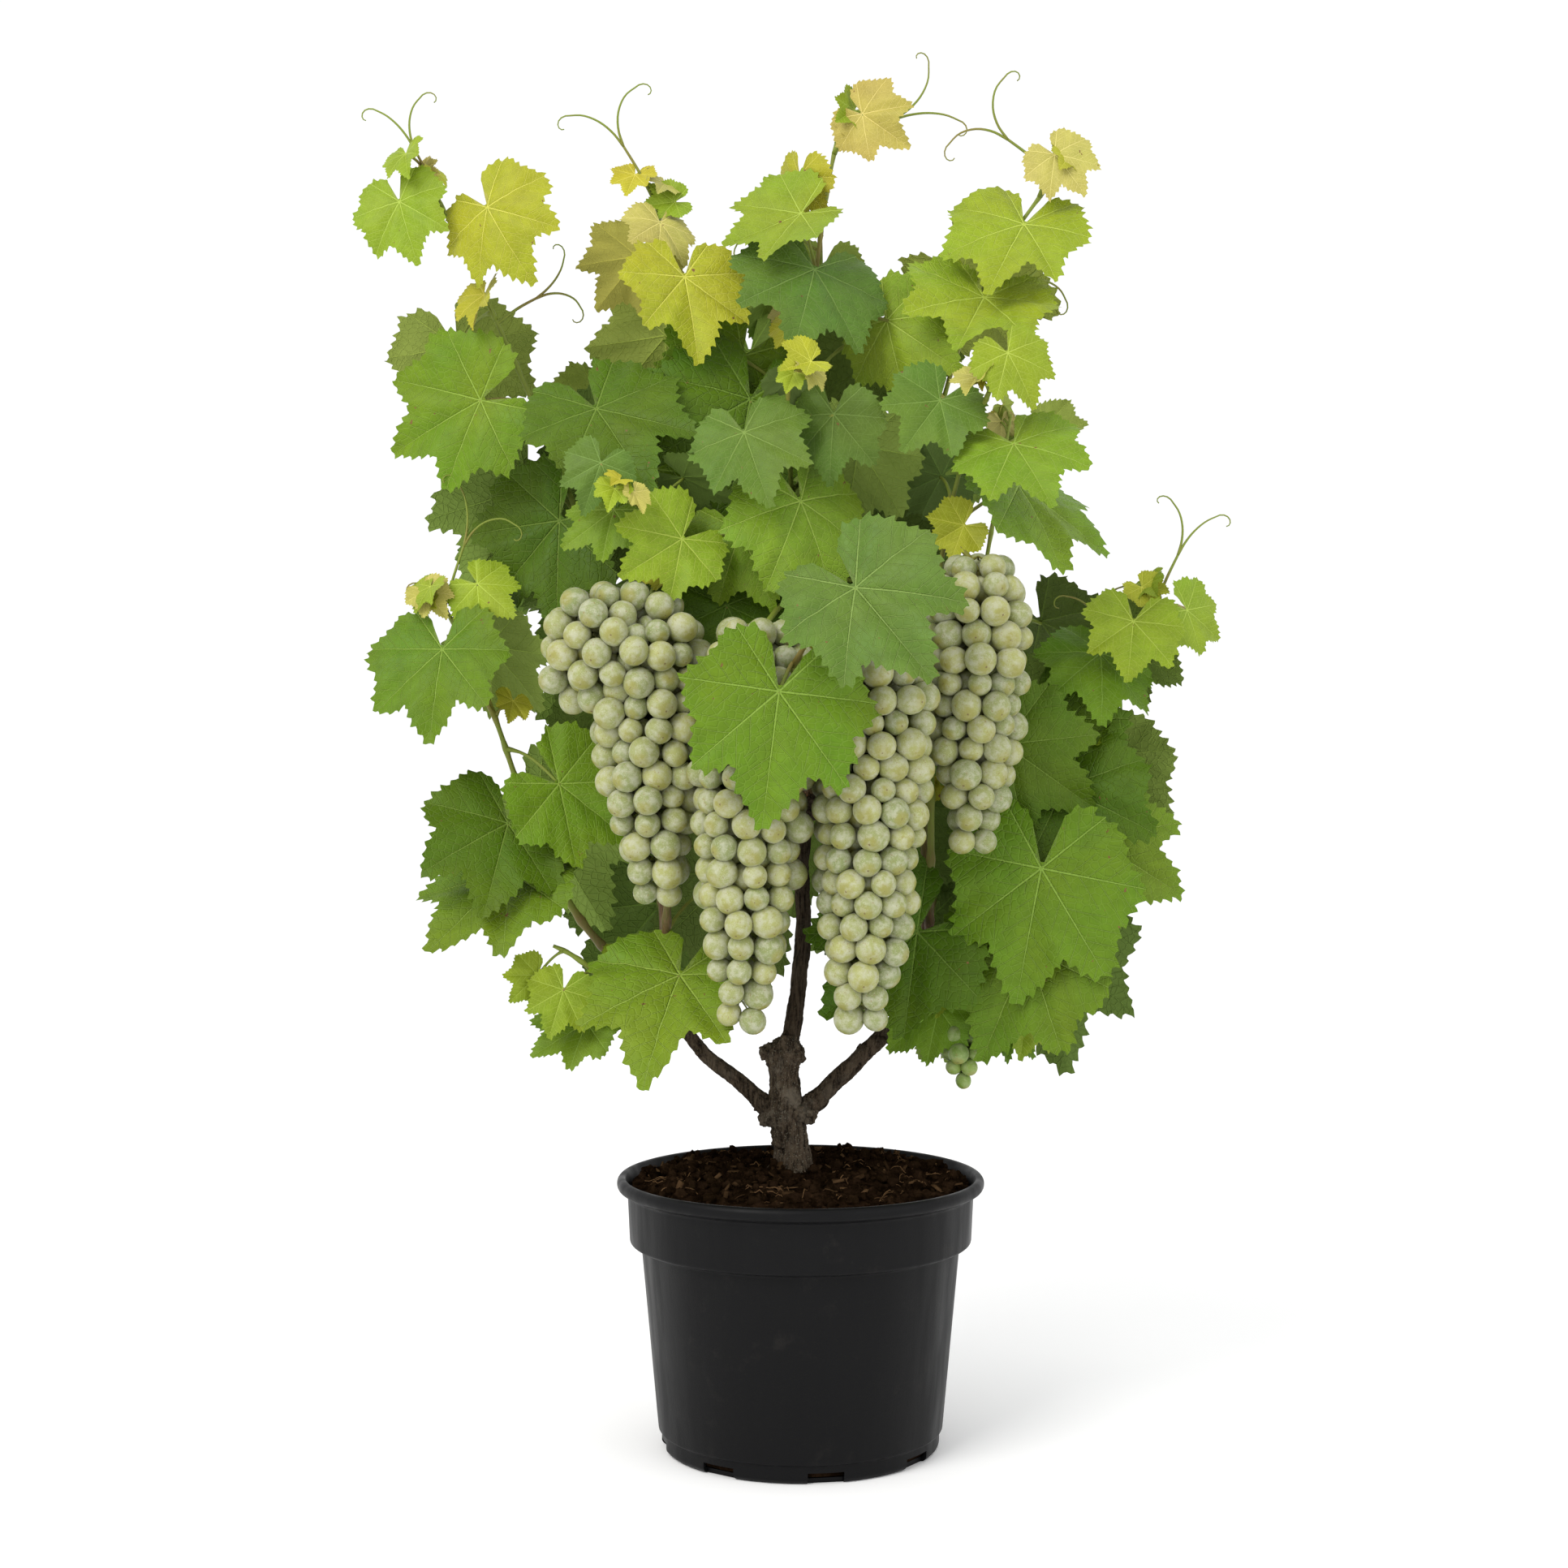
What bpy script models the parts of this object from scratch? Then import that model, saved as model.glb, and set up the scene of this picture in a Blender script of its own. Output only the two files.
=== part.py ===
"""A grapevine in a black nursery pot: trunk, arms, leafy canes, bunches of grapes, soil and pot.

Units are metres and Z is up. The origin is the middle of the pot's flat underside and the
front of the plant, where the bunches hang, faces -Y. Each cane with its leaves is one solid,
grown by a seeded rule from the head that carries it, and each bunch is one solid on its stalk.
"""

import math
import random
from collections import namedtuple

import bmesh
import bpy
from mathutils import Quaternion, Vector
from mathutils.bvhtree import BVHTree

CLEAR = 0.0003  # gap kept between solids that touch on the real plant

# Pot: a moulded ten-litre container, 280 mm across its rim.
POT_HEIGHT = 0.2065
RIM_RADIUS = 0.140
BAND_RADIUS = 0.1320
BAND_HEIGHT = 0.157
BODY_TOP_RADIUS = 0.1215
BODY_FOOT_RADIUS = 0.1085
FOOT_RADIUS = 0.1060
FOOT_HEIGHT = 0.0147
POT_WALL = 0.0022
LIP = 0.0090  # height of the rolled rim
LIP_ROLL = 0.0022
RIM_WIDTH = 0.0060  # how far the flat top of the rim runs in
BAND_TAPER = 0.0018
STEP_DROP = 0.002  # slope of the shoulder under the band
POT_FLOOR = 0.0028
POT_STEPS = 32
DRAIN_SLOTS = 8
DRAIN_TURN = math.radians(9.8)
DRAIN_SIZE = (0.027, 0.012, 0.010)
DRAIN_HEIGHT = 0.0035

# Soil: brim-full, heaped a little round the trunk.
SOIL_EDGE = 0.203
GROUND = 0.2112
GROUND_FLAT = 0.034
SOIL_STEPS = 24

# Woody frame: (x, z) of each limb's axis with its radius. The frame lies in the plane y = 0.
TRUNK = ((-0.006, GROUND + CLEAR, 0.0185), (-0.006, 0.217, 0.0140), (-0.007, 0.228, 0.0120),
         (-0.009, 0.244, 0.0128), (-0.011, 0.256, 0.0158), (-0.012, 0.268, 0.0125),
         (-0.013, 0.282, 0.0104), (-0.013, 0.292, 0.0128), (-0.012, 0.301, 0.0138),
         (-0.010, 0.308, 0.0098))
LEADER = ((-0.008, 0.3085, 0.0068), (-0.003, 0.340, 0.0062), (0.002, 0.391, 0.0057),
          (0.001, 0.440, 0.0053), (0.003, 0.480, 0.0058))
LEFT_ARM = ((-0.034, 0.2660, 0.0066), (-0.048, 0.279, 0.0056), (-0.070, 0.296, 0.0050),
            (-0.084, 0.312, 0.0050), (-0.098, 0.336, 0.0052))
RIGHT_ARM = ((0.016, 0.2675, 0.0070), (0.037, 0.288, 0.0066), (0.062, 0.312, 0.0062),
             (0.090, 0.342, 0.0058))
FORK = (-0.011, 0.0, 0.247)  # where the stubs that carry the two arms leave the trunk
FORK_RADIUS = 0.0095
STUB_LENGTH = 0.006
LIMB_SIDES = 8
HEAD_RADIUS = 0.0115  # the knob that ends each arm, where its canes are borne

# Canes.
CANE_RADIUS = 0.0038
CANE_TIP_RADIUS = 0.0014
CANE_SIDES = 4
CANE_STEPS = 10
CANE_PULL = 0.38
CANE_FOOT = 0.006  # length of a cane's straight first step out of its head

# Leaves: lobes of one half of a blade as (degrees from the midrib, share of the blade's length),
# round the point where the leaf stalk joins the blade.
LOBES = ((0, 1.00), (24, 0.65), (42, 0.85), (64, 0.62), (90, 0.67), (130, 0.54), (166, 0.36))
SINUS = 0.07
BLADE_THICK = 0.0024
STALK_RADIUS = 0.0013
STALK_STEP_IN = 0.006  # how far along the blade its stalk goes in
STALK_SHARE = (0.40, 0.95)  # length of a leaf's stalk against its blade
SIZE_SHARE = (0.82, 1.10)
STALK_SWING = (-5, 85)  # degrees from the way the leaf faces, out to its own side of the cane
STALK_RISE = (-45, 60)
FACE_SWING = (-25, 45)
FACE_RISE = (0, 50)
MIDRIB_SWING = (-25, 65)  # degrees out from hanging straight down
FOLD = (-0.15, 0.25)
CURL = (0.05, 0.35)
LAST_LEAF = 0.985  # share of the cane where its last leaf grows
YOUNG = 0.34  # size of the youngest leaf against a grown one
GROWN_AT = 0.17  # a leaf this far below its cane's tip is full grown
ATTEMPTS = 90  # draws from which each leaf takes the best
LEAF_GAP = 0.0016
LIGHT_CELL = 0.012
SHADED = 0.5  # what a cell that is already covered takes off a leaf's light
LOWEST_LEAF = 0.262

# Tendrils: a stalk that forks into two arms, each curling up at its end.
TENDRIL_RADIUS = 0.0007
TENDRIL_STEPS = 4

# Bunches.
BERRY_RADIUS = 0.0172
GREEN_BERRY_RADIUS = 0.0076
BUNCH_STALK = 0.0022
WING_ROOT = (0.014, -0.004)  # where a bunch's wing leaves its stem: out and up from its top
WING_REACH = (0.040, -0.046)  # from there to the wing's tip
WING_WIDTH = 1.12

# Each cane leaves its head, and comes to its tip, on a heading of (azimuth, elevation) in degrees. It
# bears its leaves from `bare`, a share of its length, up to its tip, and they turn to the front, to the
# back or to both in turn. `blade` is the length of a grown leaf. The seed, a plain count, settles how
# its leaves hang.
Cane = namedtuple("Cane", "head leave tip arrive faces leaves bare blade tendrils seed")
CANES = {
    "cane_left_front": Cane("left", (-95, 60), (-0.135, -0.120, 0.715), (-135, 10),
                            "front", 8, 0.50, 0.090, 0, 21),
    "cane_apron": Cane("leader", (-20, 25), (-0.008, -0.162, 0.578), (-90, -70),
                       "front", 2, 0.72, 0.225, 0, 22),
    "cane_front": Cane("leader", (-90, 60), (-0.010, -0.120, 0.800), (-90, 40),
                       "front", 11, 0.30, 0.090, 0, 23),
    "cane_right_front": Cane("right", (-85, 60), (0.140, -0.110, 0.800), (-60, 45),
                             "front", 10, 0.40, 0.092, 0, 24),
    "cane_left_low": Cane("left", (175, 32), (-0.273, -0.010, 0.645), (180, 58),
                          "front", 13, 0.04, 0.096, 2, 25),
    "cane_left_high": Cane("left", (100, 78), (-0.287, 0.000, 0.974), (180, 64),
                           "front", 13, 0.16, 0.096, 2, 26),
    "cane_centre": Cane("leader", (80, 80), (0.030, 0.000, 1.007), (0, 78),
                        "front", 13, 0.25, 0.092, 2, 27),
    "cane_right_high": Cane("right", (80, 78), (0.199, 0.000, 0.974), (0, 50),
                            "front", 14, 0.20, 0.092, 2, 28),
    "cane_right_low": Cane("right", (5, 32), (0.274, 0.000, 0.648), (0, 60),
                           "front", 13, 0.04, 0.092, 2, 29),
    "cane_small_top": Cane("leader", (150, 42), (-0.115, 0.020, 0.964), (180, 72),
                           "both", 8, 0.30, 0.080, 1, 30),
    "cane_left_spur": Cane("left", (-145, -5), (-0.185, -0.040, 0.385), (180, 20),
                           "front", 6, 0.15, 0.078, 0, 31),
    "cane_right_spur": Cane("right", (-35, -8), (0.165, -0.035, 0.375), (-20, 30),
                            "front", 7, 0.15, 0.084, 0, 32),
    "cane_left_back": Cane("left", (95, 30), (-0.150, 0.110, 0.840), (120, 75),
                           "back", 13, 0.08, 0.096, 0, 33),
    "cane_back": Cane("leader", (80, 22), (0.000, 0.120, 0.900), (60, 80),
                      "back", 13, 0.05, 0.096, 0, 34),
    "cane_right_back": Cane("right", (85, 30), (0.170, 0.110, 0.800), (60, 70),
                            "back", 13, 0.08, 0.096, 0, 35),
}
AFTER_FRUIT = "cane_front"  # from this cane on, leaves keep off the face of the bunches

# Places where sky shows round and between the shoots, looked at from EYE: (x, z, radius).
EYE = (-0.013, -1.855, 0.542)
SKY = {
    "under the left arm": (-0.06, 0.27, 0.020),
    "under the right arm": (0.06, 0.26, 0.020),
    "inside the left spur": (-0.14, 0.27, 0.020),
    "beyond the left spur": (-0.28, 0.32, 0.050),
    "over the left spur": (-0.18, 0.38, 0.015),
    "left of the lowest leaves": (-0.34, 0.43, 0.050),
    "left of the low left shoot": (-0.37, 0.55, 0.050),
    "within the low left shoot": (-0.24, 0.53, 0.015),
    "beside the left bunch": (-0.20, 0.58, 0.010),
    "over the low left tip": (-0.28, 0.69, 0.015),
    "left of the high left shoot": (-0.37, 0.72, 0.050),
    "under the high left tip": (-0.34, 0.83, 0.030),
    "beyond the high left tip": (-0.38, 0.91, 0.040),
    "inside the high left shoot": (-0.19, 0.83, 0.020),
    "inside the high left tip": (-0.22, 0.88, 0.015),
    "between the high left and small tips": (-0.15, 0.98, 0.040),
    "over the small tip": (-0.07, 1.00, 0.030),
    "right of the small shoot": (-0.08, 0.94, 0.010),
    "left of the centre tip": (-0.02, 1.01, 0.030),
    "right of the centre shoot": (0.06, 0.93, 0.025),
    "between the centre and high right tips": (0.13, 0.97, 0.025),
    "beyond the high right tip": (0.28, 0.95, 0.050),
    "right of the high right shoot": (0.24, 0.87, 0.045),
    "over the right shoulder": (0.28, 0.80, 0.045),
    "over the low right tip": (0.30, 0.73, 0.040),
    "over the right bunch": (0.14, 0.71, 0.010),
    "beside the right bunch": (0.17, 0.67, 0.015),
    "beyond the low right tip": (0.37, 0.65, 0.040),
    "within the low right tip": (0.28, 0.57, 0.015),
    "right of the low right shoot": (0.34, 0.53, 0.040),
    "right of the lowest leaves": (0.33, 0.44, 0.040),
    "beyond the right spur": (0.30, 0.35, 0.045),
    "under the right spur": (0.24, 0.30, 0.035),
}

# Each bunch hangs from a cane at share `along` of it. Its own stem runs from top to foot, and a wing,
# where there is one, branches off to the side it names: -1 is left and 1 is right.
Bunch = namedtuple("Bunch", "cane along top foot width wing seed")
BUNCHES = {
    "bunch_left": Bunch("cane_left_front", 0.80, (-0.112, -0.100, 0.630), (-0.104, -0.100, 0.432),
                        0.041, -1, 1),
    "bunch_middle_left": Bunch("cane_front", 0.46, (-0.031, -0.128, 0.612), (-0.043, -0.126, 0.346),
                               0.042, 0, 2),
    "bunch_middle_right": Bunch("cane_front", 0.42, (0.052, -0.130, 0.600), (0.043, -0.126, 0.345),
                                0.042, 0, 3),
    "bunch_right": Bunch("cane_right_front", 0.72, (0.127, -0.100, 0.660), (0.124, -0.100, 0.470),
                         0.038, 0, 4),
}
GREEN_BUNCHES = {
    "bunch_green_left": Bunch("cane_left_spur", 0.30, (-0.118, -0.034, 0.318), (-0.116, -0.034, 0.292),
                              0.0145, 0, 5),
    "bunch_green_right": Bunch("cane_right_spur", 0.30, (0.122, -0.034, 0.316), (0.122, -0.034, 0.284),
                               0.0160, 0, 6),
}


def start_scene():
    for old in list(bpy.data.objects):
        bpy.data.objects.remove(old, do_unlink=True)


def material(name, colour, roughness, metallic=0.0):
    made = bpy.data.materials.new(name)
    made.use_nodes = True
    shader = made.node_tree.nodes["Principled BSDF"]
    shader.inputs["Base Color"].default_value = (*colour, 1.0)
    shader.inputs["Roughness"].default_value = roughness
    shader.inputs["Metallic"].default_value = metallic
    made.diffuse_color = (*colour, 1.0)
    return made


def heading(azimuth, elevation):
    turn, rise = math.radians(azimuth), math.radians(elevation)
    return Vector((math.cos(turn) * math.cos(rise), math.sin(turn) * math.cos(rise), math.sin(rise)))


def add_object(name, verts, faces, finish):
    mesh = bpy.data.meshes.new(name)
    mesh.from_pydata([tuple(v) for v in verts], [], faces)
    mesh.materials.append(finish)
    made = bpy.data.objects.new(name, mesh)
    bpy.context.scene.collection.objects.link(made)
    return made


def tube(points, radii, sides):
    """Vertices and faces of a closed tube along the points."""
    verts, faces = [], []
    along = (points[1] - points[0]).normalized()
    across = along.orthogonal().normalized()
    for i, point in enumerate(points):
        ahead = points[min(i + 1, len(points) - 1)] - points[max(i - 1, 0)]
        turn = along.rotation_difference(ahead.normalized())
        across = turn @ across
        along = ahead.normalized()
        other = along.cross(across)
        for s in range(sides):
            angle = 2 * math.pi * s / sides
            verts.append(point + radii[i] * (math.cos(angle) * across + math.sin(angle) * other))
        if i:
            low = (i - 1) * sides
            for s in range(sides):
                nxt = (s + 1) % sides
                faces.append((low + s, low + nxt, low + sides + nxt, low + sides + s))
    faces.append(tuple(reversed(range(sides))))
    top = (len(points) - 1) * sides
    faces.append(tuple(range(top, top + sides)))
    return verts, faces


def ball(centre, radius, rings, turn=0.0):
    """Vertices and faces of a low ball."""
    bm = bmesh.new()
    bmesh.ops.create_icosphere(bm, subdivisions=rings, radius=radius)
    cos, sin = math.cos(turn), math.sin(turn)
    verts = [Vector((v.co.x * cos - v.co.y * sin, v.co.x * sin + v.co.y * cos, v.co.z)) + centre
             for v in bm.verts]
    faces = [tuple(v.index for v in f.verts) for f in bm.faces]
    bm.free()
    return verts, faces


def fuse(name, pieces, finish):
    """One solid from overlapping closed pieces, by one union on a collection."""
    others = bpy.data.collections.new(name + "_pieces")
    bpy.context.scene.collection.children.link(others)
    body = add_object(name, *pieces[0], finish)
    for i, (verts, faces) in enumerate(pieces[1:]):
        extra = add_object(f"{name}_piece_{i}", verts, faces, finish)
        bpy.context.scene.collection.objects.unlink(extra)
        others.objects.link(extra)
    union = body.modifiers.new("Union", "BOOLEAN")
    union.operation = "UNION"
    union.operand_type = "COLLECTION"
    union.collection = others
    graph = bpy.context.evaluated_depsgraph_get()
    joined = bpy.data.meshes.new_from_object(body.evaluated_get(graph))
    body.modifiers.remove(union)
    body.data = joined
    for extra in list(others.objects):
        bpy.data.objects.remove(extra, do_unlink=True)
    bpy.data.collections.remove(others)
    return body


def bvh(verts, faces):
    return BVHTree.FromPolygons([tuple(v) for v in verts], faces)


# Pot and soil.


def turned(name, profile, steps, finish):
    """A solid turned about Z from (radius, height) points that start and end on the axis."""
    bm = bmesh.new()
    points = [bm.verts.new((r, 0.0, z)) for r, z in profile]
    edges = [bm.edges.new(pair) for pair in zip(points, points[1:])]
    bmesh.ops.spin(bm, geom=points + edges, axis=(0, 0, 1), cent=(0, 0, 0),
                   angle=2 * math.pi, steps=steps, use_merge=True)
    bmesh.ops.remove_doubles(bm, verts=bm.verts, dist=1e-6)
    bmesh.ops.recalc_face_normals(bm, faces=bm.faces)
    mesh = bpy.data.meshes.new(name)
    bm.to_mesh(mesh)
    bm.free()
    mesh.materials.append(finish)
    made = bpy.data.objects.new(name, mesh)
    bpy.context.scene.collection.objects.link(made)
    return made


def make_pot(finish):
    under_rim = POT_HEIGHT - LIP
    band_low = BAND_RADIUS - BAND_TAPER
    outer = (
        (0.0, 0.0), (FOOT_RADIUS - 0.003, 0.0), (FOOT_RADIUS, 0.003), (FOOT_RADIUS, FOOT_HEIGHT - 0.001),
        (BODY_FOOT_RADIUS, FOOT_HEIGHT), (BODY_TOP_RADIUS, BAND_HEIGHT - STEP_DROP),
        (band_low, BAND_HEIGHT), (BAND_RADIUS, under_rim - 0.003), (RIM_RADIUS - 0.0015, under_rim),
        (RIM_RADIUS, under_rim + 0.0025), (RIM_RADIUS, POT_HEIGHT - 0.003),
        (RIM_RADIUS - LIP_ROLL, POT_HEIGHT),
    )
    inner = (
        (RIM_RADIUS - RIM_WIDTH, POT_HEIGHT), (BAND_RADIUS - POT_WALL, under_rim),
        (band_low - POT_WALL, BAND_HEIGHT + STEP_DROP), (BODY_TOP_RADIUS - POT_WALL, BAND_HEIGHT - 0.0005),
        (BODY_FOOT_RADIUS - POT_WALL, FOOT_HEIGHT),
        (FOOT_RADIUS - POT_WALL - 0.001, POT_FLOOR + 0.0007), (0.0, POT_FLOOR),
    )
    profile = outer + inner
    pot = turned("pot", profile, POT_STEPS, finish)
    for i in range(DRAIN_SLOTS):
        angle = DRAIN_TURN - math.pi / 2 + 2 * math.pi * i / DRAIN_SLOTS
        bpy.ops.mesh.primitive_cube_add(size=1)
        cutter = bpy.context.object
        cutter.name = f"drain_cutter_{i}"
        cutter.scale = (DRAIN_SIZE[1], DRAIN_SIZE[0], DRAIN_SIZE[2])
        cutter.location = (math.cos(angle) * FOOT_RADIUS, math.sin(angle) * FOOT_RADIUS, DRAIN_HEIGHT)
        cutter.rotation_euler = (0, 0, angle)
        cutter.hide_render = True
        cutter.display_type = "WIRE"
        cut = pot.modifiers.new(f"Drain {i}", "BOOLEAN")
        cut.operation = "DIFFERENCE"
        cut.object = cutter
    return pot


def make_soil(finish):
    inner = POT_WALL + 2 * CLEAR
    band_low = BAND_RADIUS - BAND_TAPER
    profile = (
        (0.0, POT_FLOOR + CLEAR), (FOOT_RADIUS - inner - 0.0018, POT_FLOOR + 0.0007 + CLEAR),
        (BODY_FOOT_RADIUS - inner, FOOT_HEIGHT + CLEAR), (BODY_TOP_RADIUS - inner, BAND_HEIGHT),
        (band_low - inner, BAND_HEIGHT + 0.003), (BAND_RADIUS - inner - 0.0006, SOIL_EDGE - 0.006),
        (BAND_RADIUS - inner - 0.004, SOIL_EDGE), (0.100, SOIL_EDGE + 0.005), (0.065, GROUND - 0.001),
        (GROUND_FLAT, GROUND), (0.0, GROUND),
    )
    return turned("soil", profile, SOIL_STEPS, finish)


# Woody frame.


def limb_points(shape):
    return [Vector((x, 0.0, z)) for x, z, _ in shape], [r for _, _, r in shape]


def make_trunk(finish):
    points, radii = limb_points(TRUNK)
    pieces = [tube(points, radii, LIMB_SIDES)]
    for arm in (LEFT_ARM, RIGHT_ARM):
        arm_points, arm_radii = limb_points(arm)
        back = (arm_points[0] - arm_points[1]).normalized()
        end = arm_points[0] + back * CLEAR
        pieces.append(tube([Vector(FORK), end + back * STUB_LENGTH, end],
                           [FORK_RADIUS, arm_radii[0] + 0.0004, arm_radii[0]], LIMB_SIDES))
    return fuse("trunk", pieces, finish)


def make_arm(name, shape, finish):
    points, radii = limb_points(shape)
    end = points[-1] + (points[-1] - points[-2]).normalized() * HEAD_RADIUS * 0.6
    return fuse(name, [tube(points, radii, LIMB_SIDES), ball(end, HEAD_RADIUS, 2)], finish), end


# Canes, leaves and tendrils.


def bezier(cane, start, t):
    tip = Vector(cane.tip)
    reach = (tip - start).length * CANE_PULL
    a, b = start + heading(*cane.leave) * reach, tip - heading(*cane.arrive) * reach
    u = 1 - t
    return u * u * u * start + 3 * u * u * t * a + 3 * u * t * t * b + t * t * t * tip


def cane_axis(cane, start):
    """The points of a cane: one straight step out of its head, then the curve to its tip."""
    foot = start + heading(*cane.leave) * CANE_FOOT
    return [start, foot] + [bezier(cane, start, i / CANE_STEPS) for i in range(1, CANE_STEPS + 1)]


def on_axis(cane, start, t):
    """The point at share t of a cane, on the straight steps between its points."""
    axis = cane_axis(cane, start)[1:]
    step = min(int(t * CANE_STEPS), CANE_STEPS - 1)
    return axis[step].lerp(axis[step + 1], t * CANE_STEPS - step)


def cane_radius(t):
    return CANE_RADIUS + (CANE_TIP_RADIUS - CANE_RADIUS) * t ** 0.8


def seat(head, centre, direction, radius):
    """The first point along the direction where a flat end of this radius clears the head."""
    across = direction.orthogonal().normalized()
    other = direction.cross(across)
    distance = 0.0
    for _ in range(2000):
        distance += 0.00005
        end = centre + direction * distance
        face = [end] + [end + radius * share * (math.cos(a) * across + math.sin(a) * other)
                        for share in (0.5, 1.0) for a in (i * math.pi / 4 for i in range(8))]
        if all(outside(head, p, CLEAR) for p in face):
            return end
    return centre + direction * distance


def outside(tree, point, gap):
    near, normal, _, distance = tree.find_nearest(point)
    return distance > gap and (point - near).dot(normal) > 0


Leaf = namedtuple("Leaf", "root joint midrib normal length fold curl front")


def leaf_pose(cane, start, node, attempt):
    """One draw of where leaf number `node` of a cane hangs."""
    rng = random.Random(cane.seed * 10000 + node * 100 + attempt)
    share = (node + 0.5) / cane.leaves
    t = cane.bare + (LAST_LEAF - cane.bare) * share
    root = on_axis(cane, start, t)
    side = 1 if (node + cane.seed) % 2 else -1
    front = {"front": -1 if node % 4 == 2 else 1, "back": -1, "both": 1 if node % 2 else -1}[cane.faces]
    age = min(1.0, (Vector(cane.tip) - root).length / GROWN_AT)
    length = cane.blade * (YOUNG + (1 - YOUNG) * age) * rng.uniform(*SIZE_SHARE)
    stalk = heading(-90 * front + side * front * rng.uniform(*STALK_SWING), rng.uniform(*STALK_RISE))
    joint = root + stalk * length * rng.uniform(*STALK_SHARE)
    normal = heading(-90 * front + side * front * rng.uniform(*FACE_SWING), rng.uniform(*FACE_RISE))
    down = Vector((0, 0, -1))
    down = (down - down.dot(normal) * normal).normalized()
    outward = down.cross(normal) * side
    outward = outward if outward.x * side > 0 else -outward
    roll = math.radians(rng.uniform(*MIDRIB_SWING))
    midrib = math.cos(roll) * down + math.sin(roll) * outward
    return Leaf(root, joint, midrib, normal, length, rng.uniform(*FOLD), rng.uniform(*CURL), front)


def blade_point(leaf, angle, reach):
    """A point of the blade, by its angle from the midrib and its share of the blade's length."""
    x, y = math.sin(angle) * reach, math.cos(angle) * reach
    lift = leaf.fold * abs(x) - leaf.curl * (x * x + 0.6 * y * y)
    right = leaf.midrib.cross(leaf.normal)
    return leaf.joint + leaf.length * (x * right + y * leaf.midrib + lift * leaf.normal)


def blade_outline(leaf, spread=1.0):
    half = [(math.radians(a), r * spread) for a, r in LOBES]
    ring = half + [(math.pi, SINUS)] + [(-a, r) for a, r in reversed(half[1:])]
    return [blade_point(leaf, a, r) for a, r in ring]


def blade(leaf, thick=BLADE_THICK, spread=1.0):
    """The leaf blade: a thin closed lens over its lobed outline."""
    rim = blade_outline(leaf, spread)
    n = len(rim)
    verts = rim + [leaf.joint + leaf.normal * thick / 2, leaf.joint - leaf.normal * thick / 2]
    faces = []
    for i in range(n):
        faces.append((i, n, (i + 1) % n))
        faces.append((i, (i + 1) % n, n + 1))
    return verts, faces


def leaf_stalk(leaf):
    end = blade_point(leaf, math.radians(LOBES[1][0] / 2), STALK_STEP_IN / leaf.length)
    return tube([leaf.root, end + leaf.normal * 0.0002], [STALK_RADIUS * 1.2, STALK_RADIUS * 0.5], 3)


def box_of(verts, margin=0.0):
    low = [min(v[i] for v in verts) - margin for i in range(3)]
    high = [max(v[i] for v in verts) + margin for i in range(3)]
    return low, high


def boxes_meet(a, b):
    return all(a[0][i] <= b[1][i] and b[0][i] <= a[1][i] for i in range(3))


class Space:
    """Everything grown so far, each piece with its box and its tree of faces."""

    def __init__(self):
        self.pieces = []

    def add(self, owner, verts, faces):
        self.pieces.append((owner, box_of(verts), bvh(verts, faces)))

    def free(self, verts, faces, skip=()):
        box = box_of(verts, LEAF_GAP)
        tree = None
        for owner, other_box, other in self.pieces:
            if owner in skip or not boxes_meet(box, other_box):
                continue
            tree = tree or bvh(verts, faces)
            if tree.overlap(other):
                return False
        return True


def seen(p):
    """Where a point stands in the upright plane through the pot's middle, looked at from EYE."""
    nearer = EYE[1] / (EYE[1] - p.y)
    return EYE[0] + (p.x - EYE[0]) * nearer, EYE[2] + (p.z - EYE[2]) * nearer


def goes_round(outline, x, z):
    """Whether a closed outline of (x, z) points goes round the place."""
    inside = False
    for (ax, az), (bx, bz) in zip(outline, outline[1:] + outline[:1]):
        if (az > z) != (bz > z) and x < ax + (z - az) * (bx - ax) / (bz - az):
            inside = not inside
    return inside


def in_sky(rim):
    """Whether a blade reaches into a place where sky shows, or lies over it."""
    outline = [seen(p) for p in rim]
    for x, z, radius in SKY.values():
        if any((a - x) ** 2 + (b - z) ** 2 < radius * radius for a, b in outline):
            return True
        if goes_round(outline, x, z):
            return True
    return False


def light_cell(p):
    x, z = seen(p)
    return round(x / LIGHT_CELL), round(z / LIGHT_CELL)


def light_cells(leaf):
    """The cells of the front view that a blade covers."""
    cells = set()
    for angle, reach in LOBES:
        for side in (-1, 1):
            for share in (0.25, 0.5, 0.75, 1.0):
                p = blade_point(leaf, side * math.radians(angle), reach * share)
                cells.add(light_cell(p))
    return cells


def grow_leaves(name, cane, start, space, shade):
    """The leaves of a cane: each takes the draw that catches most light and touches nothing."""
    leaves = []
    for node in range(cane.leaves):
        best, best_light = None, 0
        for attempt in range(ATTEMPTS):
            leaf = leaf_pose(cane, start, node, attempt)
            rim = blade_outline(leaf)
            if in_sky(rim) or min(p.z for p in rim) < LOWEST_LEAF:
                continue
            cells = light_cells(leaf)
            light = len(cells - shade[leaf.front]) - SHADED * len(cells & shade[leaf.front])
            if light <= best_light:
                continue
            if (space.free(*blade(leaf, BLADE_THICK + 2 * LEAF_GAP, 1.03))
                    and space.free(*leaf_stalk(leaf), skip=(name,))):
                best, best_light = leaf, light
        if best:
            leaves.append(best)
            shade[best.front] |= light_cells(best)
            space.add(name + "_leaf", *blade(best))
            space.add(name + "_leaf", *leaf_stalk(best))
    return leaves


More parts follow.
